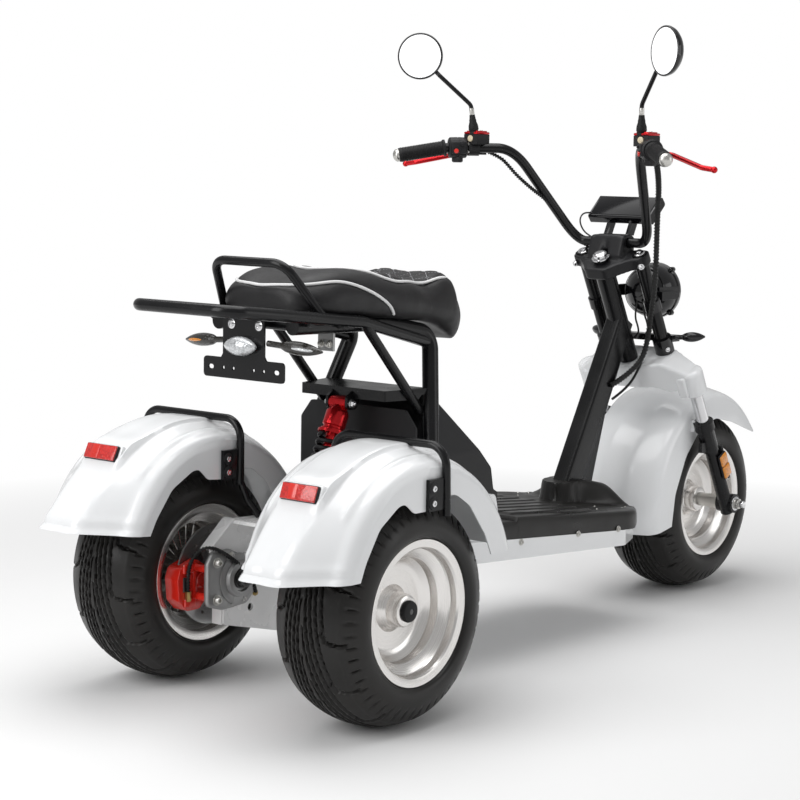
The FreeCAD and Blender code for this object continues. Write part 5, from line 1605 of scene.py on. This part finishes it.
class SCOOTER_OT_fittings(bpy.types.Operator):
    """Put in the bolts, nuts, pads and caliper details"""
    bl_idname = "scooter.fittings"
    bl_label = "Fittings"

    def execute(self, context):
        self.body_bolts()
        self.fork_bolts()
        self.fender_pads()
        self.rear_brakes()
        self.front_brake()
        self.shock_trim()
        return {"FINISHED"}

    def body_bolts(self):
        bolts = bmesh.new()
        for x, z in ((568, 266), (786, 255), (949, 245)):
            for side in (-1, 1):
                socket_bolt(bolts, at(x, side * 200, z), (0, side, 0), 5.4, 3.2, washer=7.5)
        outward(bolts)
        piece("skirt_bolts", bolts, "chassis", "zinc_steel")
        heads = bmesh.new()
        for y in (31, -41):
            socket_bolt(heads, at(-92, y, 756), (-1, 0, 0), 6.2, 4.2, washer=9.5)
        outward(heads)
        piece("bracket_bolts", heads, "chassis", "bright_steel")
        small = bmesh.new()
        for y in (-90, -70):
            hex_bolt(small, at(58, y, 716), (-1, 0, 0), 11, 5, washer=15, stub=3)
        outward(small)
        piece("latch_bolts", small, "chassis", "zinc_steel")

    def fork_bolts(self):
        bright = bmesh.new()
        top = on_fork(710, 0, 0)
        lathe(bright, [(-1, 22), (1.4, 22), (1.6, 17), (10, 17), (13, 14), (14, 9), (14, 0)], top,
              STEER_UP, 36)
        rod(bright, top, top + STEER_UP * 9 * MM, 15.5, 6, bevel=0.8)
        socket_bolt(bright, at(1180, -93, 834), (-0.73, -0.56, -0.40), 6, 5, washer=8)
        socket_bolt(bright, at(1174, 90, 834), (-0.73, 0.56, -0.40), 6, 5, washer=8)
        for y in (-80, 80):
            lathe(bright, [(-1, 14), (2, 14), (4, 12), (4, 6), (1, 5), (1, 0)],
                  on_fork(698.5, 44, y), STEER_UP, 32)
        for side in (-1, 1):
            socket_bolt(bright, at(1303, side * 99, 629), (-0.49, side * 0.83, -0.27), 4.5, 4,
                        washer=6)
        outward(bright)
        piece("fork_bright_bolts", bright, "steering", "bright_steel")
        dark = bmesh.new()
        for y in (-27, 27):
            for s, n in ((716, 38), (690, 34)):
                socket_bolt(dark, on_fork(s, n, y), tuple(-STEER_AHEAD), 4.6, 5)
        outward(dark)
        piece("riser_bolts", dark, "steering", "dark_steel")
        nuts = bmesh.new()
        for side in (-1, 1):
            end = Vector((FRONT_X, side * 0.181, AXLE_Z))
            rod(nuts, end, end + Vector((0, side * 0.014, 0)), 9, 20, bevel=1.0)
            rod(nuts, end - Vector((0, side * 0.013, 0)), end - Vector((0, side * 0.010, 0)),
                18, 32, bevel=0.6)
        piece("front_axle_ends", nuts, "steering", "bright_steel")
        for side in (-1, 1):
            backing = bmesh.new()
            middle = on_fork(99, 53, side * 156)
            block(backing, (9, 24, 98), Matrix.Translation(middle) @ FORK_TURN, 3)
            piece("fork_reflector_back_" + side_name(side), backing, "steering", "panel_black")

    def fender_pads(self):
        pads, heads = bmesh.new(), bmesh.new()
        inner, outer = FENDER_Y - FENDER_HALF, FENDER_Y + FENDER_HALF
        for side in (-1, 1):
            for y, face in ((inner - 8.2, -1), (outer + 8.2, 1)):
                for z in (471, 443):
                    place = at(0, side * y, z)
                    out = Vector((0, side * face, 0))
                    rod(pads, place - out * 1 * MM, place + out * 1.2 * MM, 12, 28, bevel=0.4)
                    socket_bolt(heads, place + out * 1.2 * MM, out, 6.2, 3.6)
        outward(heads)
        piece("guard_pads", pads, "chassis", "panel_black")
        piece("guard_bolts", heads, "chassis", "bright_steel")

    def rear_brakes(self):
        steel, red, dark, cast, nuts = (bmesh.new() for _ in range(5))
        z = AXLE_Z / MM
        for side in (-1, 1):
            out = Vector((0, -side, 0))
            for x, up in ((-62, 40), (-62, -36)):
                socket_bolt(steel, at(x, side * 95, z + up), out, 7.5, 8, washer=11)
            for x, up in ((18, -46), (28, 30), (-18, 50)):
                socket_bolt(steel, at(x, side * 98, z + up), out, 5, 4, washer=7)
            lathe(cast, [(-2, 52), (3, 52), (5, 49), (5, 38), (13, 36), (15, 33), (15, 26),
                         (10, 24), (10, 0)], at(0, side * 98, z), out, 56)
            for turn in (70, 110, 250, 290):
                spin = Matrix.Rotation(math.radians(turn), 4, "Y")
                rib = Matrix.Translation(at(0, side * 95, z)) @ spin
                block(cast, (20, 6, 4), rib @ Matrix.Translation((0.045, 0, 0)), 1)
            rod(nuts, at(0, side * 88, z), at(0, side * 84, z), 20, 32, bevel=0.6)
            rod(nuts, at(0, side * 84, z), at(0, side * 70, z), 17, 6, bevel=1.2)
            rod(nuts, at(0, side * 72, z), at(0, side * 62, z), 9.5, 20, bevel=1)
            face = side * 146.2
            lathe(red, [(0, 15.5), (3, 15.5), (4.5, 14), (4.5, 11), (3.4, 10), (3.4, 0)],
                  at(-56, face, z - 2), out, 32)
            block(red, (34, 8, 20), Matrix.Translation(at(-92, face - side * 2, z + 26)), 4)
            block(red, (34, 8, 18), Matrix.Translation(at(-88, face - side * 2, z - 44)), 4)
            block(red, (10, 8, 70), Matrix.Translation(at(-78, face - side * 2, z - 8)), 3)
            block(dark, (9, 3, 30), Matrix.Translation(at(-103, face - side * 1, z - 6)), 1)
            rod(dark, at(-40, side * 130, z + 46), at(-40, side * 112, z + 46), 7, 20, bevel=1)
        for bm in (steel, red, cast):
            outward(bm)
        piece("carrier_bolts", steel, "chassis", "zinc_steel")
        piece("caliper_relief", red, "chassis", "red_paint")
        piece("caliper_hardware", dark, "chassis", "dark_steel")
        piece("carrier_bosses", cast, "chassis", "cast_alloy")
        piece("axle_nuts", nuts, "chassis", "dark_steel")

    def front_brake(self):
        red, steel = bmesh.new(), bmesh.new()
        face = 0.133
        for x, z in ((1454, 262), (1454, 288)):
            place = at(x, 0, z) + Vector((0, face, 0))
            lathe(red, [(0, 12), (3, 12), (4, 10), (4, 0)], place, (0, 1, 0), 28)
        piece("front_caliper_relief", red, "steering", "red_paint")
        for x, z in ((1440, 246), (1440, 300)):
            hex_bolt(steel, at(x, 0, z) + Vector((0, face, 0)), (0, 1, 0), 9, 5, washer=13)
        piece("front_caliper_bolts", steel, "steering", "zinc_steel")

    def shock_trim(self):
        bolts = bmesh.new()
        for side in (-1, 1):
            for x, z in ((200, 581), (112, 385)):
                hex_bolt(bolts, at(x, side * 29, z), (0, side, 0), 15, 7, washer=20, stub=3)
        outward(bolts)
        piece("shock_bolts", bolts, "chassis", "bright_steel")


# Stage, and the photograph's camera: its place, its angles in radians and its focal length

CAMERA_AT = (-2973.57, -2731.11, 1084.12)
CAMERA_YAW, CAMERA_PITCH, CAMERA_ROLL = 0.681581, 0.118017, 0.017733
FOCAL_PIXELS, PHOTO_WIDTH = 2050.8, 800


class SCOOTER_OT_stage(bpy.types.Operator):
    """Lay the pale floor, the soft lights and the camera"""
    bl_idname = "scooter.stage"
    bl_label = "Stage"

    def execute(self, context):
        stage = context.scene.scooter_stage
        self.floor(stage)
        self.sky(context.scene, stage)
        self.light("overhead", (-0.3, 0.2, 2.9), (0, 0, 0.4), (3.2, 2.4), stage.overhead_power)
        self.light("rear_side", (-3.0, 0.6, 1.9), (0, 0, 0.5), (1.6, 2.2), stage.side_power)
        self.light("right_fill", (1.6, -3.4, 1.4), (0, 0, 0.5), (2.0, 2.0), stage.fill_power)
        self.camera(context.scene)
        context.scene.view_settings.view_transform = "Standard"
        return {"FINISHED"}

    def floor(self, stage):
        bm = bmesh.new()
        bmesh.ops.create_circle(bm, cap_ends=True, segments=96, radius=stage.floor_radius)
        mesh = bpy.data.meshes.new("floor")
        bm.to_mesh(mesh)
        bm.free()
        made = bpy.data.objects.new("floor", mesh)
        bpy.context.scene.collection.objects.link(made)
        tree, shader = new_material("floor_paper", Base_Color=rgba(stage.floor_colour),
                                    Roughness=0.9, Specular_IOR_Level=0.1)
        place = node(tree, "ShaderNodeTexCoord").outputs["Object"]
        away = node(tree, "ShaderNodeVectorMath", [(0, place)], operation="LENGTH")
        far = ramp(tree, away.outputs["Value"], stage.white_from, stage.white_from * 2.0)
        path = node(tree, "ShaderNodeLightPath")
        seen = maths(tree, "MAXIMUM", path.outputs["Is Camera Ray"],
                     path.outputs["Is Glossy Ray"])
        shown = maths(tree, "MAXIMUM", seen, path.outputs["Is Transmission Ray"])
        white = node(tree, "ShaderNodeEmission", [("Color", (1, 1, 1, 1)), ("Strength", 1.0)])
        mix = node(tree, "ShaderNodeMixShader", [
            ("Fac", maths(tree, "MULTIPLY", shown, far)), (1, shader.outputs[0]),
            (2, white.outputs[0])])
        tree.links.new(mix.outputs[0], tree.nodes["Material Output"].inputs["Surface"])
        mesh.materials.append(FINISHES["floor_paper"])

    def sky(self, scene, stage):
        world = bpy.data.worlds.new("studio")
        world.use_nodes = True
        tree = world.node_tree
        back = tree.nodes["Background"]
        path = node(tree, "ShaderNodeLightPath")
        seen = maths(tree, "MAXIMUM", path.outputs["Is Camera Ray"],
                     path.outputs["Is Transmission Ray"])
        strength = node(tree, "ShaderNodeMapRange", [
            ("Value", seen), ("To Min", stage.sky), ("To Max", 1.0)])
        back.inputs["Color"].default_value = (1, 1, 1, 1)
        tree.links.new(strength.outputs["Result"], back.inputs["Strength"])
        scene.world = world

    def light(self, name, place, aim, size, power):
        lamp = bpy.data.lights.new(name, "AREA")
        lamp.shape = "RECTANGLE"
        lamp.size, lamp.size_y = size
        lamp.energy = power
        made = bpy.data.objects.new(name, lamp)
        made.location = place
        made.rotation_mode = "QUATERNION"
        made.rotation_quaternion = (Vector(aim) - Vector(place)).to_track_quat("-Z", "Y")
        bpy.context.scene.collection.objects.link(made)

    def camera(self, scene):
        """The photograph's own view: behind the scooter and to its right."""
        yaw, pitch, roll = CAMERA_YAW, CAMERA_PITCH, CAMERA_ROLL
        view = Vector((math.cos(yaw) * math.cos(pitch), math.sin(yaw) * math.cos(pitch),
                       -math.sin(pitch)))
        side = Vector((math.sin(yaw), -math.cos(yaw), 0))
        up = side.cross(view)
        turned_side = side * math.cos(roll) + up * math.sin(roll)
        turned_up = up * math.cos(roll) - side * math.sin(roll)
        cam = bpy.data.cameras.new("view")
        cam.sensor_width = 36.0
        cam.lens = FOCAL_PIXELS * cam.sensor_width / PHOTO_WIDTH
        cam.clip_end = 60.0
        made = bpy.data.objects.new("view", cam)
        matrix = Matrix((turned_side, turned_up, -view)).transposed().to_4x4()
        matrix.translation = at(*CAMERA_AT)
        made.matrix_world = matrix
        scene.collection.objects.link(made)
        scene.camera = made


class SCOOTER_OT_materials(bpy.types.Operator):
    """Make every finish"""
    bl_idname = "scooter.materials"
    bl_label = "Materials"

    def execute(self, context):
        make_materials(context.scene.scooter_paint)
        return {"FINISHED"}


class SCOOTER_PT_panel(bpy.types.Panel):
    """Lists the dressing steps"""
    bl_idname = "SCOOTER_PT_panel"
    bl_label = "Scooter"
    bl_space_type = "VIEW_3D"
    bl_region_type = "UI"
    bl_category = "Scooter"

    def draw(self, context):
        for step in STEPS:
            self.layout.operator(step.bl_idname)
        for group in SETTINGS:
            box = self.layout.box()
            values = getattr(context.scene, group)
            for name in values.bl_rna.properties.keys():
                if name not in ("rna_type", "name"):
                    box.prop(values, name)


SETTINGS = {
    "scooter_stage": ScooterStage,
    "scooter_paint": ScooterPaint,
    "scooter_tyre": ScooterTyre,
    "scooter_seat": ScooterSeat,
    "scooter_cables": ScooterCables,
}
STEPS = [SCOOTER_OT_stage, SCOOTER_OT_materials, SCOOTER_OT_skins, SCOOTER_OT_tyres,
         SCOOTER_OT_rims, SCOOTER_OT_fenders, SCOOTER_OT_footboard, SCOOTER_OT_castings,
         SCOOTER_OT_seat, SCOOTER_OT_cables, SCOOTER_OT_controls, SCOOTER_OT_lamps,
         SCOOTER_OT_fittings]


def register():
    for group in SETTINGS.values():
        bpy.utils.register_class(group)
    for name, group in SETTINGS.items():
        setattr(bpy.types.Scene, name, bpy.props.PointerProperty(type=group))
    for step in STEPS + [SCOOTER_PT_panel]:
        bpy.utils.register_class(step)


def unregister():
    for step in reversed(STEPS + [SCOOTER_PT_panel]):
        bpy.utils.unregister_class(step)
    for name in SETTINGS:
        delattr(bpy.types.Scene, name)
    for group in SETTINGS.values():
        bpy.utils.unregister_class(group)


def main():
    register()
    for step in STEPS:
        category, name = step.bl_idname.split(".")
        getattr(getattr(bpy.ops, category), name)()


if __name__ == "__main__":
    main()
